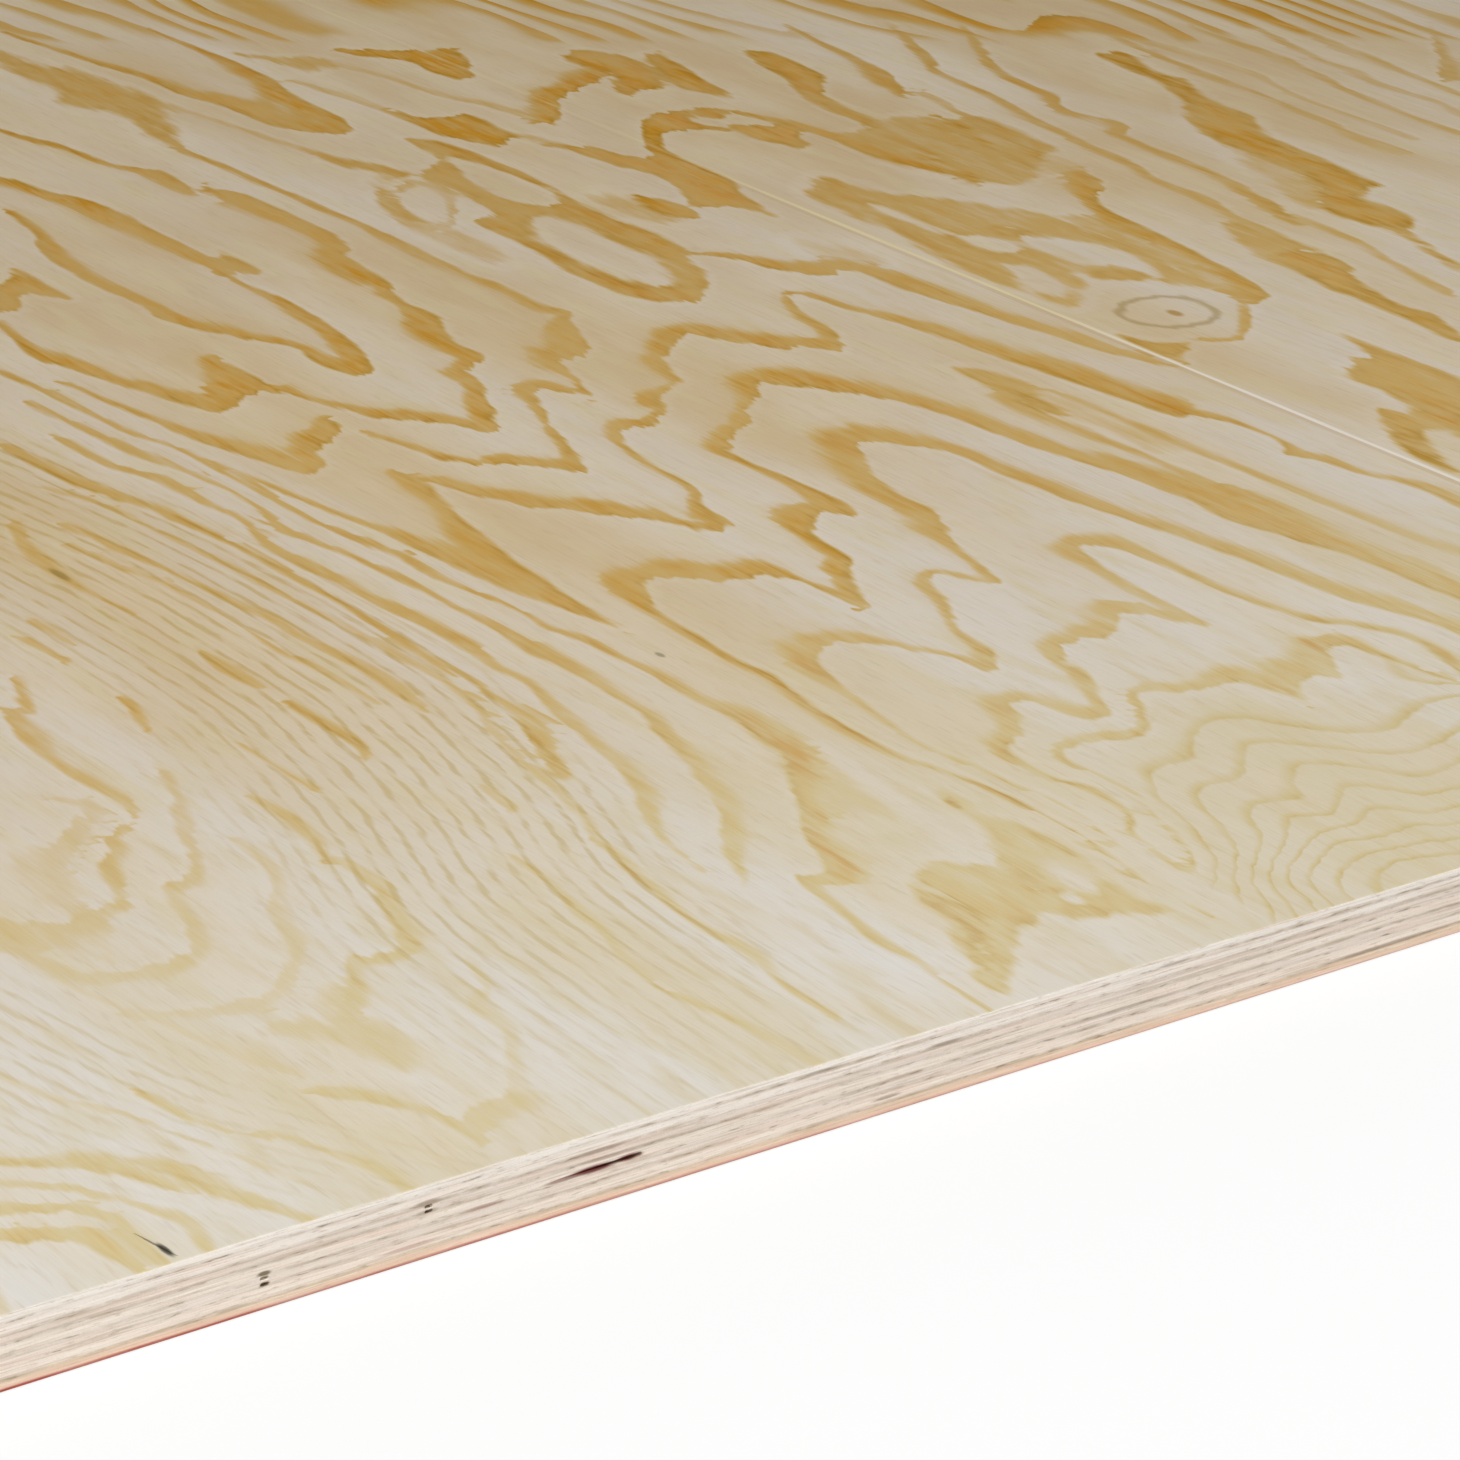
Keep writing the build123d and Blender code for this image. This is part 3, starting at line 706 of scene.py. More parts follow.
def grid_lines(*runs, low_arris=False, high_arris=False):
    """Places of grid lines in mm. Each run is (start, end, spacing); an arris adds close lines."""
    lines = []
    if low_arris:
        lines += list(runs[0][0] - arris + arris_lines)
    for start, end, spacing in runs:
        lines += list(np.linspace(start, end, max(1, round((end - start) / spacing)), endpoint=False))
    lines.append(runs[-1][1])
    if high_arris:
        lines += list(runs[-1][1] + arris - arris_lines[::-1])
    return np.array(lines)


def with_check_rows(lines):
    lines = lines[np.abs(lines - check_middle[1]) > check_clearance]
    rows = check_middle[1] + check_width / 2 * np.array([-1, 0, 1])
    return np.sort(np.concatenate([lines, rows]))


def drop_at(lines, low_arris, high_arris):
    """How far the rounded arris falls below the face at each grid line, in mm."""
    gap = np.full(len(lines), arris)
    if low_arris:
        gap = np.minimum(gap, lines - lines[0])
    if high_arris:
        gap = np.minimum(gap, lines[-1] - lines)
    return arris - np.sqrt(np.maximum(arris ** 2 - (arris - gap) ** 2, 0))


def check_dip(x, y, row):
    """New Y and depth in mm for a grid point on the rows of the drying check: -1, 0 and 1 are its rows."""
    along = (x - check_middle[0]) / (check_length / 2)
    slope = math.tan(math.radians(check_slope)) * check_length / 2
    if abs(along) >= 1:
        share = max(0, 1 - (abs(along) - 1)) if along < 0 else 1
        return y + math.copysign(slope, along) * share, 0
    open_share = 1 - along ** 2
    y = check_middle[1] + slope * along + row * check_width / 2 * max(open_share, 0.1)
    return y, check_depth * open_share if row == 0 else 0


def dense_leaf(name, xs, ys, sides):
    """A leaf of veneer as a grid with a rounded arris on its sawn sides, closed below."""
    low_corner, high_corner = leaf_boxes[name]
    bm = bmesh.new()
    bmesh.ops.create_grid(bm, x_segments=len(xs) - 1, y_segments=len(ys) - 1, size=0.5)
    drop_x = drop_at(xs, True, True)
    drop_y = drop_at(ys, *sides)
    for vert in bm.verts:
        i = round((vert.co.x + 0.5) * (len(xs) - 1))
        j = round((vert.co.y + 0.5) * (len(ys) - 1))
        x, y, dip = xs[i], ys[j], max(drop_x[i], drop_y[j])
        if abs(y - check_middle[1]) < check_width / 2 + 0.01:
            y, sunk = check_dip(x, y, round((y - check_middle[1]) / (check_width / 2)))
            dip += sunk
        vert.co = (x * mm, y * mm, high_corner.z - dip * mm)
    rim = [edge for edge in bm.edges if edge.is_boundary]
    lower = bmesh.ops.extrude_edge_only(bm, edges=rim)["geom"]
    for vert in lower:
        if isinstance(vert, bmesh.types.BMVert):
            vert.co.z = low_corner.z
    bmesh.ops.holes_fill(bm, edges=[edge for edge in bm.edges if edge.is_boundary], sides=0)
    bmesh.ops.recalc_face_normals(bm, faces=bm.faces)
    mesh = bpy.data.meshes.new(name + "_figured")
    bm.to_mesh(mesh)
    bm.free()
    leaf = bpy.data.objects.new(name + "_figured", mesh)
    bpy.context.scene.collection.objects.link(leaf)
    return leaf


def store_figure(leaf, xs, ys):
    """Works the figure out on the grid and stores it on the leaf's points."""
    gx, gy = np.meshgrid(xs, ys)
    places = np.stack([gx.ravel(), gy.ravel()], 1)
    sharp, soft, lean, strength, owner = (part.reshape(gx.shape) for part in figure(places))
    # where one band's soft side faces another's sharp side, the value between them says outside
    beyond_soft = (sharp > 0) & (soft < -0.5)
    touched = np.zeros(gx.shape, bool)
    for shift in ((0, 1), (0, -1), (1, 0), (-1, 0), (1, 1), (1, -1), (-1, 1), (-1, -1)):
        beyond_sharp = np.roll(sharp < 0, shift, (0, 1))
        touched |= beyond_soft & beyond_sharp & (np.roll(owner, shift, (0, 1)) != owner)
    sharp = np.where(touched, -3, sharp)
    soft = np.where(touched, no_soft, soft)
    level, pitch, fine = (part.reshape(gx.shape) for part in close_rings(places))
    border = np.array(traced_part, float)
    gap = nearest(places, border)[0]
    out = np.where(inside(places, border), 0, gap).reshape(gx.shape)
    traced = 1 - step((out - 3 - fade / 2) / (fade / 2))
    count = len(leaf.data.vertices)
    co = np.empty(count * 3, np.float32)
    leaf.data.vertices.foreach_get("co", co)
    co = co.reshape(-1, 3) / mm
    i = np.clip(np.searchsorted(xs, co[:, 0]) - 1, 0, len(xs) - 2)
    j = np.clip(np.searchsorted(ys, co[:, 1]) - 1, 0, len(ys) - 2)
    u = np.clip((co[:, 0] - xs[i]) / (xs[i + 1] - xs[i]), 0, 1)
    v = np.clip((co[:, 1] - ys[j]) / (ys[j + 1] - ys[j]), 0, 1)

    def on_leaf(grid):
        """The grid's values at the leaf's points."""
        return ((grid[j, i] * (1 - u) + grid[j, i + 1] * u) * (1 - v)
                + (grid[j + 1, i] * (1 - u) + grid[j + 1, i + 1] * u) * v)

    # points sunk into the drying check, where the face material paints shade
    sunk = (co[:, 2] < face_top / mm - arris - 0.05) & (co[:, 2] > face_top / mm - check_depth - 0.05)
    sharp, soft, lean, strength, traced, level, pitch, fine = (
        on_leaf(grid) for grid in (sharp, soft, lean, strength, traced, level, pitch, fine))
    for name, triple in (("edges", (sharp, soft, lean)), ("gold", (strength, traced, sunk)),
                         ("close", (level, pitch, fine))):
        values = np.stack(triple, 1).astype(np.float32)
        layer = leaf.data.attributes.new(name, "FLOAT_VECTOR", "POINT")
        layer.data.foreach_set("vector", values.ravel())


joint_mm = joint_line / mm
# the sheet's half length and half width without the arris; then the grid lines, wide apart where
# nothing is traced and closest at the photographed end
end_x = round(high.x / mm, 3) - arris
side_y = round(high.y / mm, 3) - arris
left_x = grid_lines((-end_x, 315, 15), (315, 1000, 4), (1000, 1203, 3.2), (1203, 1218, 2.5),
                    (1218, end_x, 2), low_arris=True, high_arris=True)
left_y = with_check_rows(grid_lines((-side_y, -490, 8), (-490, joint_mm, 2.5), low_arris=True))
right_x = grid_lines((-end_x, 435, 15), (435, 1012, 4), (1012, end_x, 12), low_arris=True, high_arris=True)
right_y = grid_lines((joint_mm, 442, 2.8), (442, side_y, 8), high_arris=True)
leaves = {
    "face_veneer_left": (left_x, left_y, (True, False)),
    "face_veneer_right": (right_x, right_y, (False, True)),
}
figured = {}
for name, (xs, ys, sides) in leaves.items():
    leaf = dense_leaf(name, xs, ys, sides)
    store_figure(leaf, xs, ys)
    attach(leaf, "root")
    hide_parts(name)
    figured[name] = leaf
    print(name, len(leaf.data.vertices), "points")

# %% [markdown]
# Pine or fir veneer is pale cream, with golden latewood. Both are crossed by fine fibres along the grain,
# which also tear the edge of a gold band into small teeth wherever it runs across them. One flat colour
# per zone would look printed. So the material shifts the traced edges along the grain by a noise that is
# long on the grain and fine across it, and lays streaks, flecks and slow drifts over both colours.

# %% Patterns in millimetres
smooth = {"interpolation_type": "SMOOTHSTEP"}
# a small mark, in its own half sizes from the middle: it starts to fade at the core and ends at the rim
mark_core = 0.55
mark_rim = 1.35


def wood_places(tree):
    """Object coordinates in millimetres, and their three parts."""
    metres = add(tree, "TexCoord").outputs["Object"]
    place = add(tree, "VectorMath", {0: metres, 1: (1 / mm,) * 3}, operation="MULTIPLY")
    parts = add(tree, "SeparateXYZ", {0: place})
    return place, parts.outputs["X"], parts.outputs["Y"], parts.outputs["Z"]


def fibres(tree, place, along, across, seed, detail=2.0, rough=0.5):
    """A noise of patches that long and that wide in mm, along X and across it, from 0 to 1."""
    size = add(tree, "Mapping", {"Vector": place, "Location": (seed, seed * 1.7, seed * 0.3),
                                 "Scale": (1 / along, 1 / across, 1 / across)})
    return add(tree, "TexNoise", {"Vector": size, "Scale": 1.0, "Detail": detail, "Roughness": rough})


def swayed(tree, noise, sway, around=0.0):
    """A value that a noise moves up and down, by half the sway at most."""
    centred = add(tree, "Math", {0: noise, 1: 0.5}, operation="SUBTRACT")
    return add(tree, "Math", {0: centred, 1: sway, 2: around}, operation="MULTIPLY_ADD")


def away_from(tree, value, middle):
    """How far a value is from a middle, either way."""
    off = add(tree, "Math", {0: value, 1: middle}, operation="SUBTRACT")
    return add(tree, "Math", {0: off}, operation="ABSOLUTE")


def stained(tree, colour, *stains, part=None):
    """Lays stains over a colour, or only in part. Each is a value, where it starts to show and where it
    is full, its strength and its colour."""
    for value, start, full, strength, stain in stains:
        share = add(tree, "MapRange", {"Value": value, "From Min": start, "From Max": full,
                                       "To Max": strength}, **smooth)
        if part is not None:
            share = add(tree, "Math", {0: share, 1: part}, operation="MULTIPLY")
        colour = add(tree, "Mix", {"Factor": share, "A": colour, "B": stain}, data_type="RGBA")
    return colour


def marked(tree, place, colour, marks):
    """Lays small soft marks over a colour. Each is its centre, its half sizes in mm, colour, strength."""
    for centre, halves, stain, strength in marks:
        near = add(tree, "VectorMath", {0: place, 1: centre}, operation="SUBTRACT")
        scaled = add(tree, "VectorMath", {0: near, 1: tuple(1 / half for half in halves)},
                     operation="MULTIPLY")
        reach = add(tree, "VectorMath", {0: scaled}, operation="LENGTH").outputs["Value"]
        colour = stained(tree, colour, (reach, mark_rim, mark_core, strength, stain))
    return colour


print("patterns ready; a mark fades from", mark_core, "to", mark_rim, "of its half sizes")

# %% Peeled veneer
# tones at the photographed end, in the middle and in the far part of the sheet; the pale wood has two
pale_tones = ("#E0DBD3", "#D8CBB8")
# the gold and straw change from end to end partly as painted sheen: paler at the lit photographed end,
# deeper and more saturated far from it
gold_tones_and_sheen = ("#D8B66E", "#CD9D42", "#CB9014")
straw_tones_and_sheen = ("#D7C699", "#CEAD6B", "#C8A561")
middle_part = (1110, 930)
far_part = (800, 640)
# stains of the pale wood
cloudy_cream = "#DECFB4"
dry_straw = "#D6C89F"
toothed_tan = "#D2BF94"
streaked_tan = "#C9AE7E"
dash_brown = "#B39A6C"
edge_cream = "#E8DFD2"
# stains of the gold
streaked_gold = "#B57E16"
deep_gold = "#C48F24"
light_gold = "#DCBE80"
cloudy_gold = "#D9B472"
red_gold = "#C8841E"
dark_dash_gold = "#94660F"
lip_brown = "#8C7318"
thin_ring_olive = "#A6945C"
hair_brown = "#80643A"
# painted shade inside the drying check
check_painted_shade = "#2A1F12"
# rings that are drawn by noise: mm from one to the next, and how many rings the slow noise moves them
ring_pitch = 24
ring_sway = 15.0
# the knot, its ring, and small marks of the face
knot_middle = (830.6, 142.0, 0)
knot_radius = 15.9
knot_ring_brown = "#9C7F33"
on_face = 18
into_leaf = 20
# the near-black mark at the drying check is painted shade in the crack
face_marks = [((x, y, on_face), (half_x, half_y, into_leaf), colour, strength)
              for x, y, half_x, half_y, colour, strength in (
                  (833, 143, 3.8, 2.0, "#AE8438", 0.8), (1214, -441.9, 3.6, 0.9, "#1E140A", 0.85),
                  (988.7, -163.9, 2.2, 1.0, "#8A8068", 0.7), (840.8, -270, 6, 1.4, "#8A7030", 0.6))]
# the joint between the two leaves: where its filler shows, and how far it lies from the solids' joint
filler_part = (560, 700)
filler_offset = 0.8
filler_yellow = "#E6D6A8"
filler_white = "#EFE7DA"
filler_flank = "#C2A078"


def tones_and_sheen_by_distance(tree, x, near, middle, far):
    """A colour that differs between the photographed end, the middle and the far part of the sheet. For the
    gold and straw, part of the difference is painted sheen.
    """
    nearer = add(tree, "MapRange", {"Value": x, "From Min": middle_part[0], "From Max": middle_part[1]})
    further = add(tree, "MapRange", {"Value": x, "From Min": far_part[0], "From Max": far_part[1]})
    colour = add(tree, "Mix", {"Factor": nearer, "A": near, "B": middle}, data_type="RGBA")
    return add(tree, "Mix", {"Factor": further, "A": colour, "B": far}, data_type="RGBA")


def knot_ring(tree, place, wobble, colour):
    """The thin brown ring round the knot."""
    off = add(tree, "VectorMath", {0: place, 1: knot_middle}, operation="SUBTRACT")
    flat = add(tree, "VectorMath", {0: off, 1: (1, 1, 0)}, operation="MULTIPLY")
    reach = add(tree, "VectorMath", {0: flat}, operation="LENGTH").outputs["Value"]
    reach = add(tree, "Math", {0: wobble, 1: 6.0, 2: reach}, operation="MULTIPLY_ADD")
    return stained(tree, colour, (away_from(tree, reach, knot_radius), 3.0, 0.2, 0.52, knot_ring_brown))


def joint_hairline(tree, x, y, streaks, colour):
    """A pale line of filler where the two leaves meet, with a darker flank, most of it near the knot."""
    off = add(tree, "Math", {0: y, 1: joint_line / mm + filler_offset}, operation="SUBTRACT")
    off = swayed(tree, streaks, 1.2, off)
    shown = add(tree, "MapRange", {"Value": x, "From Min": filler_part[0], "From Max": filler_part[1],
                                   "To Min": 0.2}, **smooth)
    whiter = add(tree, "MapRange", {"Value": x, "From Min": 800, "From Max": 890})
    filler = add(tree, "Mix", {"Factor": whiter, "A": filler_yellow, "B": filler_white}, data_type="RGBA")
    for middle, half, stain, strength in ((-2.0, 1.5, filler_flank, 0.3), (0.0, 1.15, filler, 0.85)):
        away = away_from(tree, off, middle)
        colour = stained(tree, colour, (away, half, half * 0.4, strength, stain), part=shown)
    return colour


def edge_shift(tree, place, x, calm, teeth, seed):
    """How far in mm the fibres carry a band's edge along the grain: in long teeth where the calm noise
    is high, and in short ones elsewhere and at the photographed end."""
    reach = add(tree, "MapRange", {"Value": calm, "From Min": 0.35, "From Max": 0.65,
                                   "To Min": 6, "To Max": 20})
    less = add(tree, "MapRange", {"Value": x, "From Min": 1150, "From Max": 900, "To Min": 0.45})
    reach = add(tree, "Math", {0: reach, 1: less}, operation="MULTIPLY")
    fine_teeth = fibres(tree, place, 9, 1.6, seed + 4.1, 1.0)
    return swayed(tree, fine_teeth, 2.2, swayed(tree, teeth, reach))


def drawn_rings(tree, place, y, shift, drift, seed):
    """Rings that a noise draws, for what was not traced: how much gold they lay, and their dark lip."""
    moved = add(tree, "VectorMath", {0: place, 1: add(tree, "CombineXYZ", {0: shift})}, operation="ADD")
    hills = fibres(tree, moved, 520, 150, seed + 7.7, 2.0, 0.45)
    bumps = fibres(tree, moved, 90, 26, seed + 2.9)
    level = add(tree, "Math", {0: y, 1: 1 / ring_pitch}, operation="MULTIPLY")
    level = add(tree, "Math", {0: bumps, 1: 0.9, 2: level}, operation="MULTIPLY_ADD")
    level = add(tree, "Math", {0: hills, 1: ring_sway, 2: level}, operation="MULTIPLY_ADD")
    turn = add(tree, "Math", {0: level}, operation="FRACT")
    rise = add(tree, "MapRange", {"Value": turn, "From Min": 0.4, "From Max": 0.9}, **smooth)
    fall = add(tree, "MapRange", {"Value": turn, "From Min": 1.0, "From Max": 0.96}, **smooth)
    patchy = add(tree, "MapRange", {"Value": drift, "From Min": 0.32, "From Max": 0.62,
                                    "To Min": 0.3}, **smooth)
    band = add(tree, "Math", {0: rise, 1: fall}, operation="MULTIPLY")
    lip = add(tree, "MapRange", {"Value": turn, "From Min": 0.86, "From Max": 0.95})
    return (add(tree, "Math", {0: band, 1: patchy}, operation="MULTIPLY"),
            add(tree, "Math", {0: lip, 1: fall}, operation="MULTIPLY"))


def traced_gold(tree, place, edges, strength, shift, wobble, streaks, tint, clouds, seed):
    """The traced bands: how much gold they lay, and how far inside their sharp side each place is."""
    # the sharp side, moved by the teeth and by a wobble, which is small where the side follows the grain
    across = add(tree, "Math", {0: edges["Z"]}, operation="ABSOLUTE")
    across = add(tree, "MapRange", {"Value": across, "From Max": 0.8, "To Min": 3.0, "To Max": 7.0})
    sharp = add(tree, "Math", {0: shift, 1: edges["Z"], 2: edges["X"]}, operation="MULTIPLY_ADD")
    sharp = add(tree, "Math", {0: wobble, 1: across, 2: sharp}, operation="MULTIPLY_ADD")
    inner = add(tree, "MapRange", {"Value": sharp, "From Min": -1, "From Max": 1}, **smooth)
    # the soft side, broken into streaks and blotches; past it a faint tan reaches on to the next ring
    soft = swayed(tree, tint, 2.4, swayed(tree, streaks, 1.2, edges["Y"]))
    outer = add(tree, "MapRange", {"Value": soft, "From Min": -1.2, "From Max": 1.0}, **smooth)
    halo = add(tree, "MapRange", {"Value": soft, "From Min": -3.7, "From Max": 0.5, "To Max": 0.16})
    told = add(tree, "Math", {0: outer, 1: halo}, operation="MAXIMUM")
    flecks = fibres(tree, place, 24, 5.5, seed + 21.0, 2.0, 0.7)
    cloudy = add(tree, "MapRange", {"Value": clouds, "From Min": 0.35, "From Max": 0.65,
                                    "To Min": 0.85, "To Max": 1.15})
    flecked = add(tree, "MapRange", {"Value": flecks, "From Min": 0.36, "From Max": 0.62,
                                     "To Min": 0.7, "To Max": 1.1})
    for part in (inner, strength, cloudy, flecked):
        told = add(tree, "Math", {0: told, 1: part}, operation="MULTIPLY")
    return told, sharp


def close_lines(tree, place, close, wobble, tint, seed):
    """The close rings, a line for each whole level: how much gold they lay, and how olive it is."""
    pitch = close["Y"]
    strong = add(tree, "Math", {0: close["Z"]}, operation="ABSOLUTE")
    wave = add(tree, "Math", {0: wobble, 1: 3.5}, operation="MULTIPLY")
    wave = add(tree, "Math", {0: wave, 1: pitch}, operation="DIVIDE")
    ring = add(tree, "Math", {0: close["X"], 1: wave}, operation="ADD")
    # thin broken lines
    away = add(tree, "Math", {0: ring, 1: 0.5}, operation="PINGPONG")
    away = add(tree, "Math", {0: away, 1: pitch}, operation="MULTIPLY")
    half = add(tree, "Math", {0: pitch, 1: 0.22}, operation="MULTIPLY")
    away = add(tree, "Math", {0: away, 1: half}, operation="DIVIDE")
    thin = add(tree, "MapRange", {"Value": away, "From Min": 1.0, "From Max": 0.2}, **smooth)
    broken = fibres(tree, place, 14, 3.0, seed + 17.0, 1.0)
    gaps = add(tree, "MapRange", {"Value": broken, "From Min": 0.4, "From Max": 0.56, "To Min": 0.25})
    thin = add(tree, "Math", {0: thin, 1: gaps}, operation="MULTIPLY")
    # in the fan they are soft on one side, on a tan ground
    turn = add(tree, "Math", {0: ring}, operation="FRACT")
    swell = add(tree, "MapRange", {"Value": turn, "From Min": 0.58, "From Max": 0.93}, **smooth)
    drop = add(tree, "MapRange", {"Value": turn, "From Min": 1.0, "From Max": 0.9}, **smooth)
    fuller = add(tree, "MapRange", {"Value": tint, "From Min": 0.35, "From Max": 0.6, "To Min": 0.55})
    for part in (drop, fuller):
        swell = add(tree, "Math", {0: swell, 1: part}, operation="MULTIPLY")
    swell = add(tree, "Math", {0: swell, 1: 0.9, 2: 0.14}, operation="MULTIPLY_ADD")
    one_sided = add(tree, "MapRange", {"Value": close["Z"], "From Max": -0.1})
    line = add(tree, "Math", {0: thin, 1: 0.55, 2: 0.06}, operation="MULTIPLY_ADD")
    line = add(tree, "Mix", {"Factor": one_sided, "A": line, "B": swell})
    line = add(tree, "Math", {0: line, 1: strong}, operation="MULTIPLY")
    olive = add(tree, "Math", {0: thin, 1: strong}, operation="MULTIPLY")
    fan_olive = add(tree, "Math", {0: line, 1: 0.25}, operation="MULTIPLY")
    olive = add(tree, "Mix", {"Factor": one_sided, "A": olive, "B": fan_olive})
    return line, add(tree, "Math", {0: olive, 1: 0.45}, operation="MULTIPLY")


def border_shares(tree, traced, clouds):
    """How much the traced figure and the drawn one show: both, in part, along a border that wanders."""
    rest = add(tree, "Math", {0: 1.0, 1: traced}, operation="SUBTRACT")
    rest = add(tree, "Math", {0: rest, 1: traced}, operation="MULTIPLY")
    wander = add(tree, "MapRange", {"Value": clouds, "From Min": 0.3, "From Max": 0.7,
                                    "To Min": -1.6, "To Max": 1.6})
    shown = add(tree, "Math", {0: rest, 1: wander, 2: traced}, operation="MULTIPLY_ADD")
    return (add(tree, "MapRange", {"Value": shown, "From Max": 0.5}, **smooth),
            add(tree, "MapRange", {"Value": shown, "From Min": 1.0, "From Max": 0.5}, **smooth))


def peeled_wood(tree, seed, traced_face):
    """Colour, roughness and relief of sanded rotary-peeled softwood."""
    place, x, y, _ = wood_places(tree)
    calm = fibres(tree, place, 140, 18, seed + 0.7)
    teeth = fibres(tree, place, 32, 5.0, seed + 1.3, 3.0, 0.6)
    drift = fibres(tree, place, 260, 60, seed + 9.1)
    streaks = fibres(tree, place, 62, 1.3, seed + 3.3, 2.0, 0.65)
    tint = fibres(tree, place, 42, 9, seed + 12.0, 1.0)
    clouds = fibres(tree, place, 110, 32, seed + 6.4, 2.0, 0.6)
    hairs = fibres(tree, place, 20, 0.45, seed + 8.2, 1.0)
    dashes = fibres(tree, place, 9, 0.9, seed + 14.5, 0.0)
    shift = edge_shift(tree, place, x, calm, teeth, seed)
    tone, lip = drawn_rings(tree, place, y, shift, drift, seed)
    if traced_face:
        stored = [add(tree, "Attribute", attribute_name=name) for name in ("edges", "gold", "close")]
        edges, gold, close = (add(tree, "SeparateXYZ", {0: layer.outputs["Vector"]}).outputs
                              for layer in stored)
        bends = fibres(tree, place, 22, 4.5, seed + 5.5)
        wobble = add(tree, "Math", {0: bends, 1: 0.5}, operation="SUBTRACT")
        told, sharp = traced_gold(tree, place, edges, gold["X"], shift, wobble, streaks, tint, clouds, seed)
        told_lip = add(tree, "MapRange", {"Value": sharp, "From Min": 3.4, "From Max": 0.4}, **smooth)
        told_lip = add(tree, "Math", {0: told_lip, 1: told}, operation="MULTIPLY")
        line, olive = close_lines(tree, place, close, wobble, tint, seed)
        told = add(tree, "Math", {0: line, 1: told}, operation="ADD")
        told_share, own_share = border_shares(tree, gold["Y"], clouds)
        told = add(tree, "Math", {0: told, 1: told_share}, operation="MULTIPLY")
        tone = add(tree, "Math", {0: tone, 1: own_share}, operation="MULTIPLY")
        tone = add(tree, "Math", {0: tone, 1: told}, operation="MAXIMUM")
        lip = add(tree, "Mix", {"Factor": told_share, "A": lip, "B": told_lip})

    # the pale wood, with a lighter rim outside each sharp side
    far = add(tree, "MapRange", {"Value": x, "From Min": 1200, "From Max": 850})
    early = add(tree, "Mix", {"Factor": far, "A": pale_tones[0], "B": pale_tones[1]}, data_type="RGBA")
    straw = tones_and_sheen_by_distance(tree, x, *straw_tones_and_sheen)
    deeper = add(tree, "MapRange", {"Value": x, "From Min": 850, "From Max": 600, "To Max": 0.08})
    deeper = add(tree, "Math", {0: drift, 1: deeper}, operation="ADD")
    crisp = add(tree, "MapRange", {"Value": x, "From Min": 1180, "From Max": 950, "To Min": 0.6})
    fine = add(tree, "Math", {0: streaks, 1: crisp}, operation="MULTIPLY")
    early = stained(tree, early, (deeper, 0.36, 0.7, 0.55, straw), (clouds, 0.4, 0.7, 0.5, cloudy_cream),
                    (tint, 0.5, 0.7, 0.4, dry_straw), (teeth, 0.48, 0.76, 0.4, toothed_tan),
                    (fine, 0.5, 0.75, 0.25, streaked_tan), (dashes, 0.62, 0.8, 0.15, dash_brown))
    if traced_face:
        bright = add(tree, "MapRange", {"Value": sharp, "From Min": -7, "From Max": -1.3}, **smooth)
        for part in (add(tree, "MapRange", {"Value": edges["Y"]}), 0.1):
            bright = add(tree, "Math", {0: bright, 1: part}, operation="MULTIPLY")
        early = add(tree, "Mix", {"Factor": bright, "A": early, "B": edge_cream}, data_type="RGBA")

    # the gold, darker along its lip
    late = stained(tree, tones_and_sheen_by_distance(tree, x, *gold_tones_and_sheen),
                   (streaks, 0.42, 0.7, 0.25, streaked_gold), (tint, 0.5, 0.68, 0.5, deep_gold),
                   (teeth, 0.5, 0.34, 0.4, light_gold), (clouds, 0.55, 0.35, 0.4, cloudy_gold),
                   (calm, 0.52, 0.66, 0.35, red_gold), (dashes, 0.6, 0.8, 0.2, dark_dash_gold))
    lip = add(tree, "Math", {0: lip, 1: 0.35}, operation="MULTIPLY")
    late = add(tree, "Mix", {"Factor": lip, "A": late, "B": lip_brown}, data_type="RGBA")

    # thin gold is straw yellow, and only thick gold is brown, so the blend goes by way of straw
    uneven = add(tree, "MapRange", {"Value": streaks, "From Min": 0.3, "From Max": 0.7,
                                    "To Min": 0.88, "To Max": 1.08}, clamp=False)
    share = add(tree, "Math", {0: tone, 1: uneven}, operation="MULTIPLY", use_clamp=True)
    thin_share = add(tree, "MapRange", {"Value": share, "From Max": 0.5})
    thick_share = add(tree, "MapRange", {"Value": share, "From Min": 0.5})
    wood = add(tree, "Mix", {"Factor": thin_share, "A": early, "B": straw}, data_type="RGBA")
    wood = add(tree, "Mix", {"Factor": thick_share, "A": wood, "B": late}, data_type="RGBA")
    if traced_face:
        wood = add(tree, "Mix", {"Factor": olive, "A": wood, "B": thin_ring_olive}, data_type="RGBA")
    shade = add(tree, "MapRange", {"Value": hairs, "From Min": 0.4, "From Max": 0.7, "To Max": 0.05})
    wood = add(tree, "Mix", {"Factor": shade, "A": wood, "B": hair_brown}, data_type="RGBA")
    rough = add(tree, "Math", {0: hairs, 1: 0.14, 2: 0.5}, operation="MULTIPLY_ADD")
    if traced_face:
        wood = knot_ring(tree, place, wobble, wood)
        wood = marked(tree, place, wood, face_marks)
        # inside the drying check the colour is painted shade, and the surface is rougher
        wood = add(tree, "Mix", {"Factor": gold["Z"], "A": wood, "B": check_painted_shade}, data_type="RGBA")
        wood = joint_hairline(tree, x, y, streaks, wood)
        rough = add(tree, "Math", {0: gold["Z"], 1: 0.4, 2: rough}, operation="MULTIPLY_ADD")
    rough = add(tree, "Math", {0: tone, 1: -0.08, 2: rough}, operation="MULTIPLY_ADD")
    relief = add(tree, "Math", {0: streaks, 1: 1.2, 2: hairs}, operation="MULTIPLY_ADD")
    return wood, rough, relief


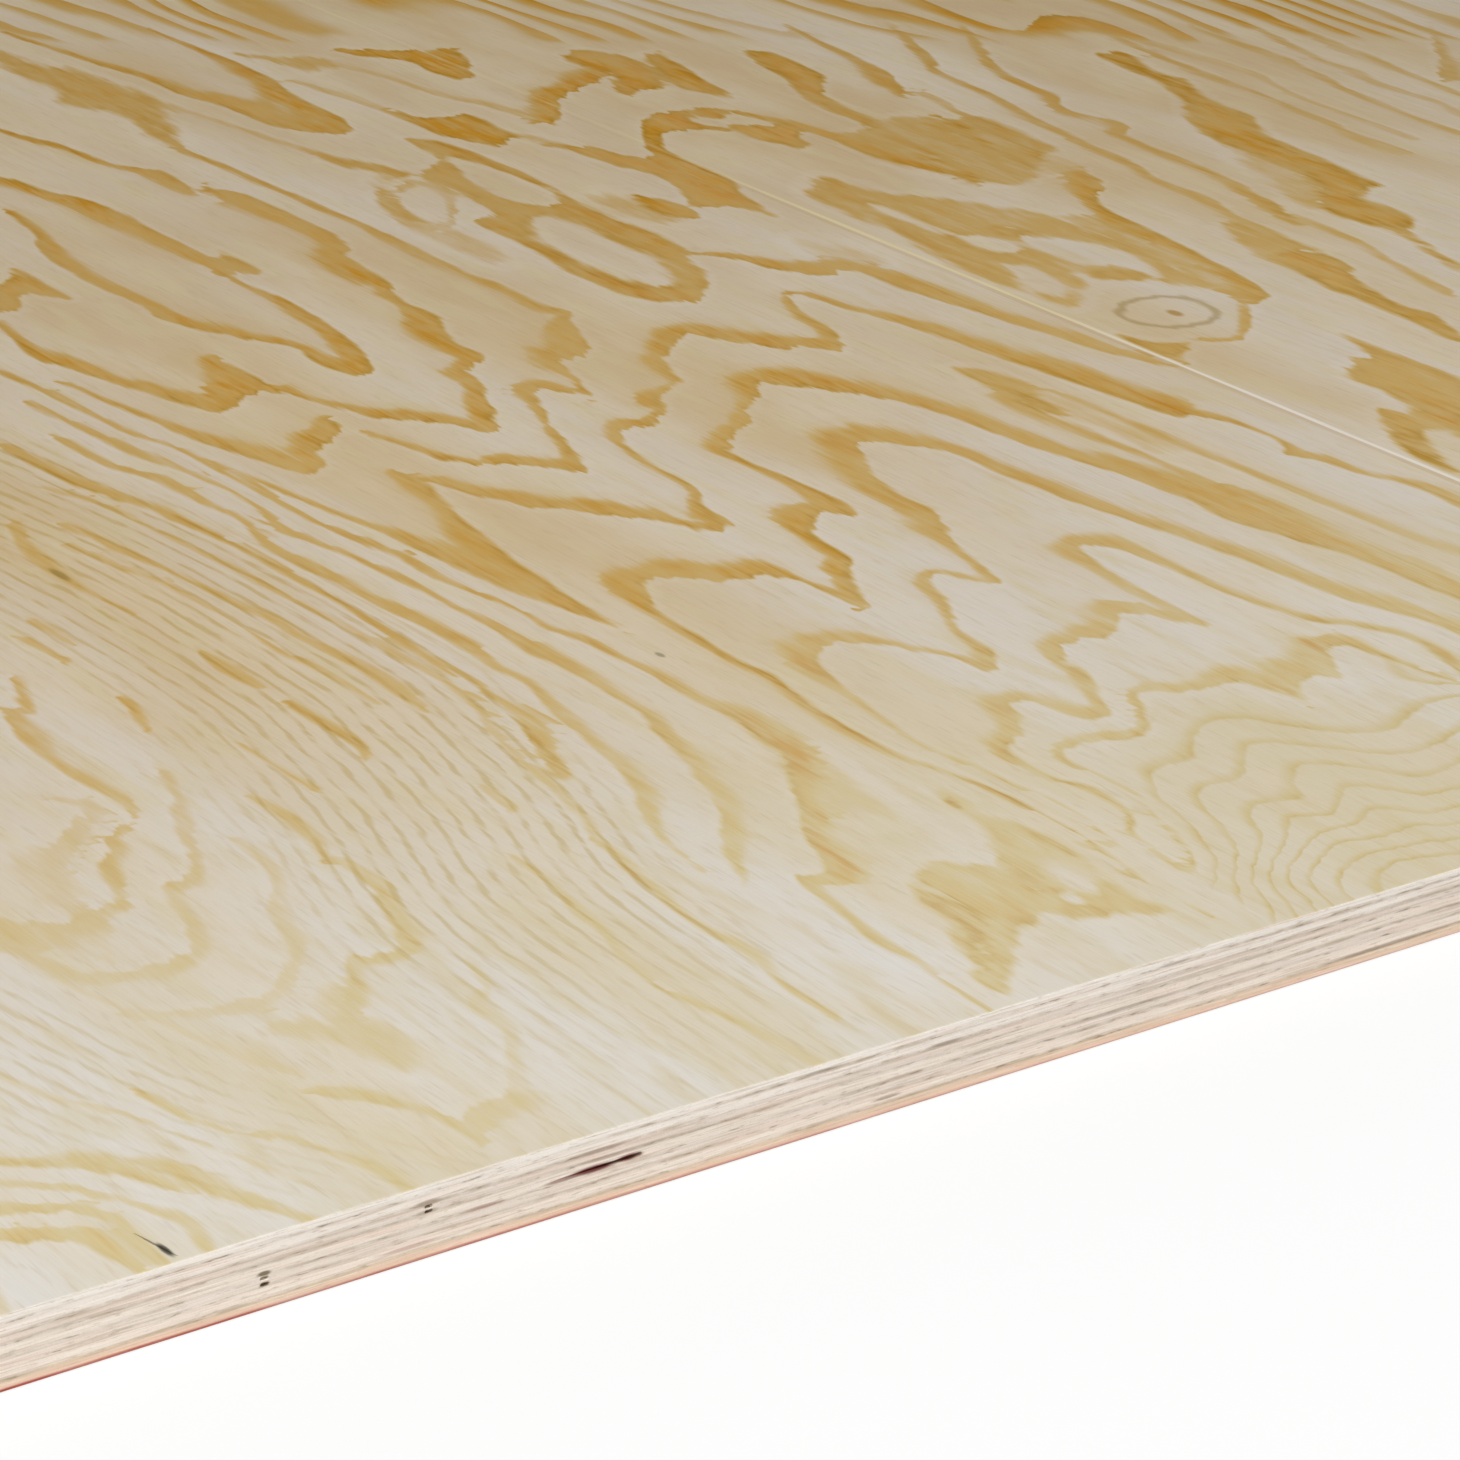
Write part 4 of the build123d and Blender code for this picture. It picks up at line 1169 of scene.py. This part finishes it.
def surface(tree, shader, colour, rough, relief, depth):
    """Gives the shader its colour, roughness and a bump that deep in mm."""
    bump = add(tree, "Bump", {"Height": relief, "Strength": 0.5, "Distance": depth * mm})
    for socket, value in (("Base Color", colour), ("Roughness", rough), ("Normal", bump)):
        tree.links.new(next(output for output in value.outputs if output.enabled), shader.inputs[socket])
    shader.inputs["Specular IOR Level"].default_value = 0.3


face_wood, tree, shader = new_material("sanded_pine_face_veneer")
surface(tree, shader, *peeled_wood(tree, 11.0, True), 0.15)
print("face material has", len(tree.nodes), "nodes")

# %% [markdown]
# The saw cuts every ply across or along its fibres. Cut along, a ply shows smooth bright wood; cut
# across, it shows open end grain and looks darker. The glue between the plies is a thin brown line. The
# plies are pressed together while soft, so these lines wander by a fraction of a millimetre. The colours
# are therefore set by height above the floor, bent by a slow noise, and not by the seven flat solids.

# %% Sawn edge
# height of each glue line above the floor in mm, and the plies' colours from the floor up
glue_heights = [2.8, 5.7, 8.2, 11.0, 13.2, 15.8]
# on the end, the top ply is a painted highlight along the sanded arris, lighter than its end grain
end_colours_and_arris_highlight = ["#E0C9B1", "#EBDED1", "#E4D7CB", "#EADED1", "#E1D4C8", "#EEE4DA", "#F0E8DF"]
side_colours = ["#EBDCC2", "#E4D6C0", "#F0E6D8", "#E5D7C2", "#F0E5D6", "#E4D6C2", "#F0E8DC"]
ply_blur = 0.3
glue_colour = "#A28C6E"
dash_colour = "#6C573B"
# stains that the fibres show, and those that the lowest ply soaked up, with their edges in mm of height
fibre_brown = "#C2AA90"
fibre_white = "#FAF4EA"
torn_brown = "#9D8566"
warm_patch = "#EFCFBE"
pore_brown = "#A98D6C"
salmon = "#EFBFAA"
soaked_red = "#9A3527"
rim_red = "#B0493A"
end_face = 1220
into_wood = 12
# the torn sliver with its painted shadows, the two core gaps with painted shade in them, and darker spots:
# Y and Z of the middle, half sizes along them, colour and strength
edge_marks = [((end_face, y, z), (into_wood, half_y, half_z), colour, strength)
              for y, z, half_y, half_z, colour, strength in (
                  (-337, 9.2, 6.5, 0.85, "#6A1C18", 0.95), (-327.5, 9.4, 3.6, 0.8, "#74241C", 0.95),
                  (-345, 8.9, 5, 0.5, "#8A5A50", 0.7), (-366, 8.4, 5.5, 0.5, "#9A6E60", 0.6),
                  (-335, 13.4, 7, 0.5, "#8E7768", 0.5), (-333, 11.2, 8, 0.45, "#A08070", 0.5),
                  (-421.5, 8.7, 1.7, 0.6, "#6E6040", 0.9), (-421.5, 6.2, 1.3, 0.55, "#7E7052", 0.85),
                  (-380.4, 13.5, 3.4, 0.7, "#A08C78", 0.8), (-380.4, 11.4, 3.0, 0.55, "#A08C78", 0.6),
                  (-385, 4.15, 8, 0.5, "#B07A66", 0.5), (-256, 4.15, 4, 0.45, "#8A7767", 0.6),
                  (-275, 16.0, 5, 0.45, "#8A7B6C", 0.5), (-239, 13.4, 5, 0.5, "#8A7A6A", 0.55),
                  (-171, 15.8, 5, 0.4, "#8A7A6C", 0.5), (-187, 8.0, 17, 0.45, "#8A7A6C", 0.45),
                  (-102, 2.9, 20, 0.5, "#7E6C58", 0.5),
              )]


def level_streaks(tree, run, along, high, seed, detail=3.0):
    """A noise of level streaks that long and that high in mm on the sawn edge, from 0 to 1."""
    size = add(tree, "Mapping", {"Vector": run, "Location": (seed, 0, seed),
                                 "Scale": (1 / along, 1, 1 / high)})
    return add(tree, "TexNoise", {"Vector": size, "Scale": 1.0, "Detail": detail, "Roughness": 0.6})


def bent_height(tree, run, z):
    """Height in mm as the wandering plies have it; straight again at the face and at the back."""
    slow = level_streaks(tree, run, 55, 30, 2.0, 2.0)
    quick = level_streaks(tree, run, 8, 5, 5.0, 2.0)
    bend = swayed(tree, quick, 0.35, swayed(tree, slow, 1.3))
    free_low = add(tree, "MapRange", {"Value": z, "From Min": 0.3, "From Max": 2.0})
    free_high = add(tree, "MapRange", {"Value": z, "From Min": 18.0, "From Max": 16.2})
    free = add(tree, "Math", {0: free_low, 1: free_high}, operation="MULTIPLY")
    bend = add(tree, "Math", {0: bend, 1: free}, operation="MULTIPLY")
    return add(tree, "Math", {0: z, 1: bend}, operation="ADD")


def glued(tree, run, height, short_streaks, colour):
    """Each glue line as a soft darker band, with thin dark dashes where the saw tore it open."""
    stretch = level_streaks(tree, run, 45, 2.5, 11.0, 1.0)
    shown = add(tree, "MapRange", {"Value": stretch, "From Min": 0.38, "From Max": 0.6,
                                   "To Min": 0.2, "To Max": 1.1})
    wear = level_streaks(tree, run, 7, 1.6, 13.0, 2.0)
    worn = add(tree, "MapRange", {"Value": wear, "From Min": 0.38, "From Max": 0.56, "To Min": 0.4})
    shown = add(tree, "Math", {0: shown, 1: worn}, operation="MULTIPLY")
    dashed = add(tree, "MapRange", {"Value": short_streaks, "From Min": 0.52, "From Max": 0.68})
    for line_height in glue_heights:
        gap = away_from(tree, height, line_height)
        for half, part, stain in ((0.95, shown, glue_colour), (0.45, dashed, dash_colour)):
            colour = stained(tree, colour, (gap, half, 0.05, 0.55, stain), part=part)
    return colour


def soaked(tree, y, z, patches, colour):
    """The reddish brown that the lowest part soaked up, more of it towards the left of the front end."""
    uneven = add(tree, "MapRange", {"Value": patches, "From Min": 0.3, "From Max": 0.55, "To Min": 0.5})
    # height where a stain is full and where it ends, its colour, where along the end it runs, how strong
    for full, over, stain, start, end_at, least, most in (
            (0.9, 2.1, salmon, -120, -330, 0.25, 0.5), (0.45, 1.1, soaked_red, -190, -440, 0, 0.95),
            (0.15, 0.55, rim_red, 60, -230, 0.25, 0.75)):
        strength = add(tree, "MapRange", {"Value": y, "From Min": start, "From Max": end_at,
                                          "To Min": least, "To Max": most})
        strength = add(tree, "Math", {0: strength, 1: uneven}, operation="MULTIPLY")
        colour = stained(tree, colour, (z, over, full, 1, stain), part=strength)
    return colour


def sawn_wood(tree, seed):
    """Colour, roughness and relief of the sawn edge, every ply in one."""
    place, x, y, z = wood_places(tree)
    facing = add(tree, "SeparateXYZ", {0: add(tree, "TexCoord").outputs["Normal"]})
    turned = add(tree, "Math", {0: facing.outputs["X"]}, operation="ABSOLUTE")
    is_end = add(tree, "MapRange", {"Value": turned, "From Min": 0.6, "From Max": 0.8})
    run = add(tree, "CombineXYZ", {0: add(tree, "Math", {0: x, 1: y}, operation="ADD"), 1: seed, 2: z})
    height = bent_height(tree, run, z)
    plies = [add(tree, "Mix", {"Factor": is_end, "A": on_side, "B": on_end}, data_type="RGBA")
             for on_end, on_side in zip(end_colours_and_arris_highlight, side_colours)]
    colour = plies[0]
    for below, ply in zip(glue_heights, plies[1:]):
        past = add(tree, "MapRange", {"Value": height, "From Min": below - ply_blur,
                                      "From Max": below + ply_blur})
        colour = add(tree, "Mix", {"Factor": past, "A": colour, "B": ply}, data_type="RGBA")
    long_streaks = level_streaks(tree, run, 24, 0.45, 1.0)
    short_streaks = level_streaks(tree, run, 5, 0.7, 7.0)
    patches = level_streaks(tree, run, 38, 2.2, 3.0, 2.0)
    pores = level_streaks(tree, run, 0.7, 0.5, 9.0)
    colour = stained(tree, colour,
                     (long_streaks, 0.5, 0.68, 0.55, fibre_brown),
                     (long_streaks, 0.5, 0.32, 0.45, fibre_white),
                     (short_streaks, 0.56, 0.74, 0.5, torn_brown),
                     (patches, 0.5, 0.75, 0.35, warm_patch), (pores, 0.55, 0.75, 0.25, pore_brown))
    colour = glued(tree, run, height, short_streaks, colour)
    colour = soaked(tree, y, z, patches, colour)
    colour = marked(tree, place, colour, edge_marks)
    rough = add(tree, "MapRange", {"Value": pores, "To Min": 0.66, "To Max": 0.86})
    relief = add(tree, "Math", {0: pores, 1: 0.5, 2: long_streaks}, operation="MULTIPLY_ADD")
    return colour, rough, relief


sawn, tree, shader = new_material("sawn_plywood_edge")
surface(tree, shader, *sawn_wood(tree, 3.0), 0.3)
print("sawn edge material has", len(tree.nodes), "nodes")

# %% [markdown]
# The back of the sheet is peeled veneer too, of a lower grade, and it is the same piece as the lowest
# ply of the sawn edge. Its material is both: the peeled wood where the surface faces down, and the sawn
# edge elsewhere.

# %% Back veneer
back_wood, tree, shader = new_material("peeled_back_veneer_and_its_sawn_edge")
facing = add(tree, "SeparateXYZ", {0: add(tree, "TexCoord").outputs["Normal"]})
down = add(tree, "MapRange", {"Value": facing.outputs["Z"], "From Min": -0.5, "From Max": -0.8})
mixed = [add(tree, "Mix", {"Factor": down, "A": cut, "B": peeled}, data_type=kind)
         for peeled, cut, kind in zip(peeled_wood(tree, 47.0, False), sawn_wood(tree, 3.0),
                                      ("RGBA", "FLOAT", "FLOAT"))]
surface(tree, shader, *mixed, 0.2)

for name, piece in nodes.items():
    piece.data.materials.clear()
    piece.data.materials.append(back_wood if name == "back_veneer" else sawn)
for leaf in figured.values():
    leaf.data.materials.append(face_wood)
    leaf.data.materials.append(sawn)
    for face in leaf.data.polygons:
        check_gap = math.dist(face.center.xy / mm, check_middle)
        in_check = check_gap < 0.6 * check_length and face.normal.z > 0.01
        face.material_index = 0 if face.normal.z > 0.5 or in_check else 1
print("back material has", len(tree.nodes), "nodes")

# %% [markdown]
# The sheet lies on a plain white floor. A white floor could be lit until it clips, but that would burn
# out the wood too, so the floor shows the camera its own white and keeps only the sheet's shadow. One
# large lamp lights the face from above and a small one fills the sawn end. Two weak ones reach the far
# half and its sides, so that the sheet looks right from behind too; they make no highlights on the face.

# %% Floor and light
# place, aim, size in m, power in W, spread of the beam in degrees, and whether it shows as a highlight
lamps = {
    "key_light": ((2.5, -1.0, 3.0), (1.0, 0, 0), 1.6, 110, 180, True),
    "low_fill_light": ((2.2, -1.5, 0.25), (1.2, -0.5, 0), 0.4, 2.8, 180, True),
    "far_half_light": ((-1.3, 0.1, 2.2), (-1.3, 0.1, 0), 1.0, 3.0, 75, False),
    "far_sides_fill_light": ((-3.6, 2.9, 0.9), (-0.6, 0.4, 0), 1.0, 8, 60, False),
}
plain_white = "#FFFFFF"
room_strength = 0.12
floor_colour = "#F4F4F2"
floor_half = 20
floor_gap = 0.0002
# the share of its own white that the floor shows to the camera and in reflections
own_white = 0.75

for name, (place, aim, size, power, spread, shines) in lamps.items():
    data = bpy.data.lights.new(name, "AREA")
    data.shape = "DISK"
    data.size = size
    data.energy = power
    data.spread = math.radians(spread)
    lamp = bpy.data.objects.new(name, data)
    lamp.location = place
    lamp.rotation_euler = (Vector(aim) - Vector(place)).to_track_quat("-Z", "Y").to_euler()
    lamp.visible_camera = False
    lamp.visible_glossy = shines
    bpy.context.scene.collection.objects.link(lamp)

room = bpy.data.worlds.new("studio")
bpy.context.scene.world = room
room.use_nodes = True
background = room.node_tree.nodes["Background"]
background.inputs["Color"].default_value = linear(plain_white)
background.inputs["Strength"].default_value = room_strength

bm = bmesh.new()
bmesh.ops.create_grid(bm, x_segments=1, y_segments=1, size=floor_half)
floor_mesh = bpy.data.meshes.new("floor")
bm.to_mesh(floor_mesh)
bm.free()
floor = bpy.data.objects.new("floor", floor_mesh)
floor.location.z = low.z - floor_gap
bpy.context.scene.collection.objects.link(floor)
floor_material, tree, shader = new_material("white_paper_floor")
shader.inputs["Base Color"].default_value = linear(floor_colour)
shader.inputs["Roughness"].default_value = 0.9
glow = add(tree, "Emission", {"Color": plain_white, "Strength": 1.0})
rays = add(tree, "LightPath")
seen = add(tree, "Math", {0: rays.outputs["Is Camera Ray"], 1: rays.outputs["Is Glossy Ray"]},
           operation="MAXIMUM")
share = add(tree, "Math", {0: seen, 1: own_white}, operation="MULTIPLY")
mixed = add(tree, "MixShader", {0: share, 1: shader.outputs[0], 2: glow})
tree.links.new(mixed.outputs[0], tree.nodes["Material Output"].inputs["Surface"])
floor.data.materials.append(floor_material)
bpy.context.scene.view_settings.view_transform = "Standard"
print("floor is", 2 * floor_half, "m wide, with", len(lamps), "lamps")
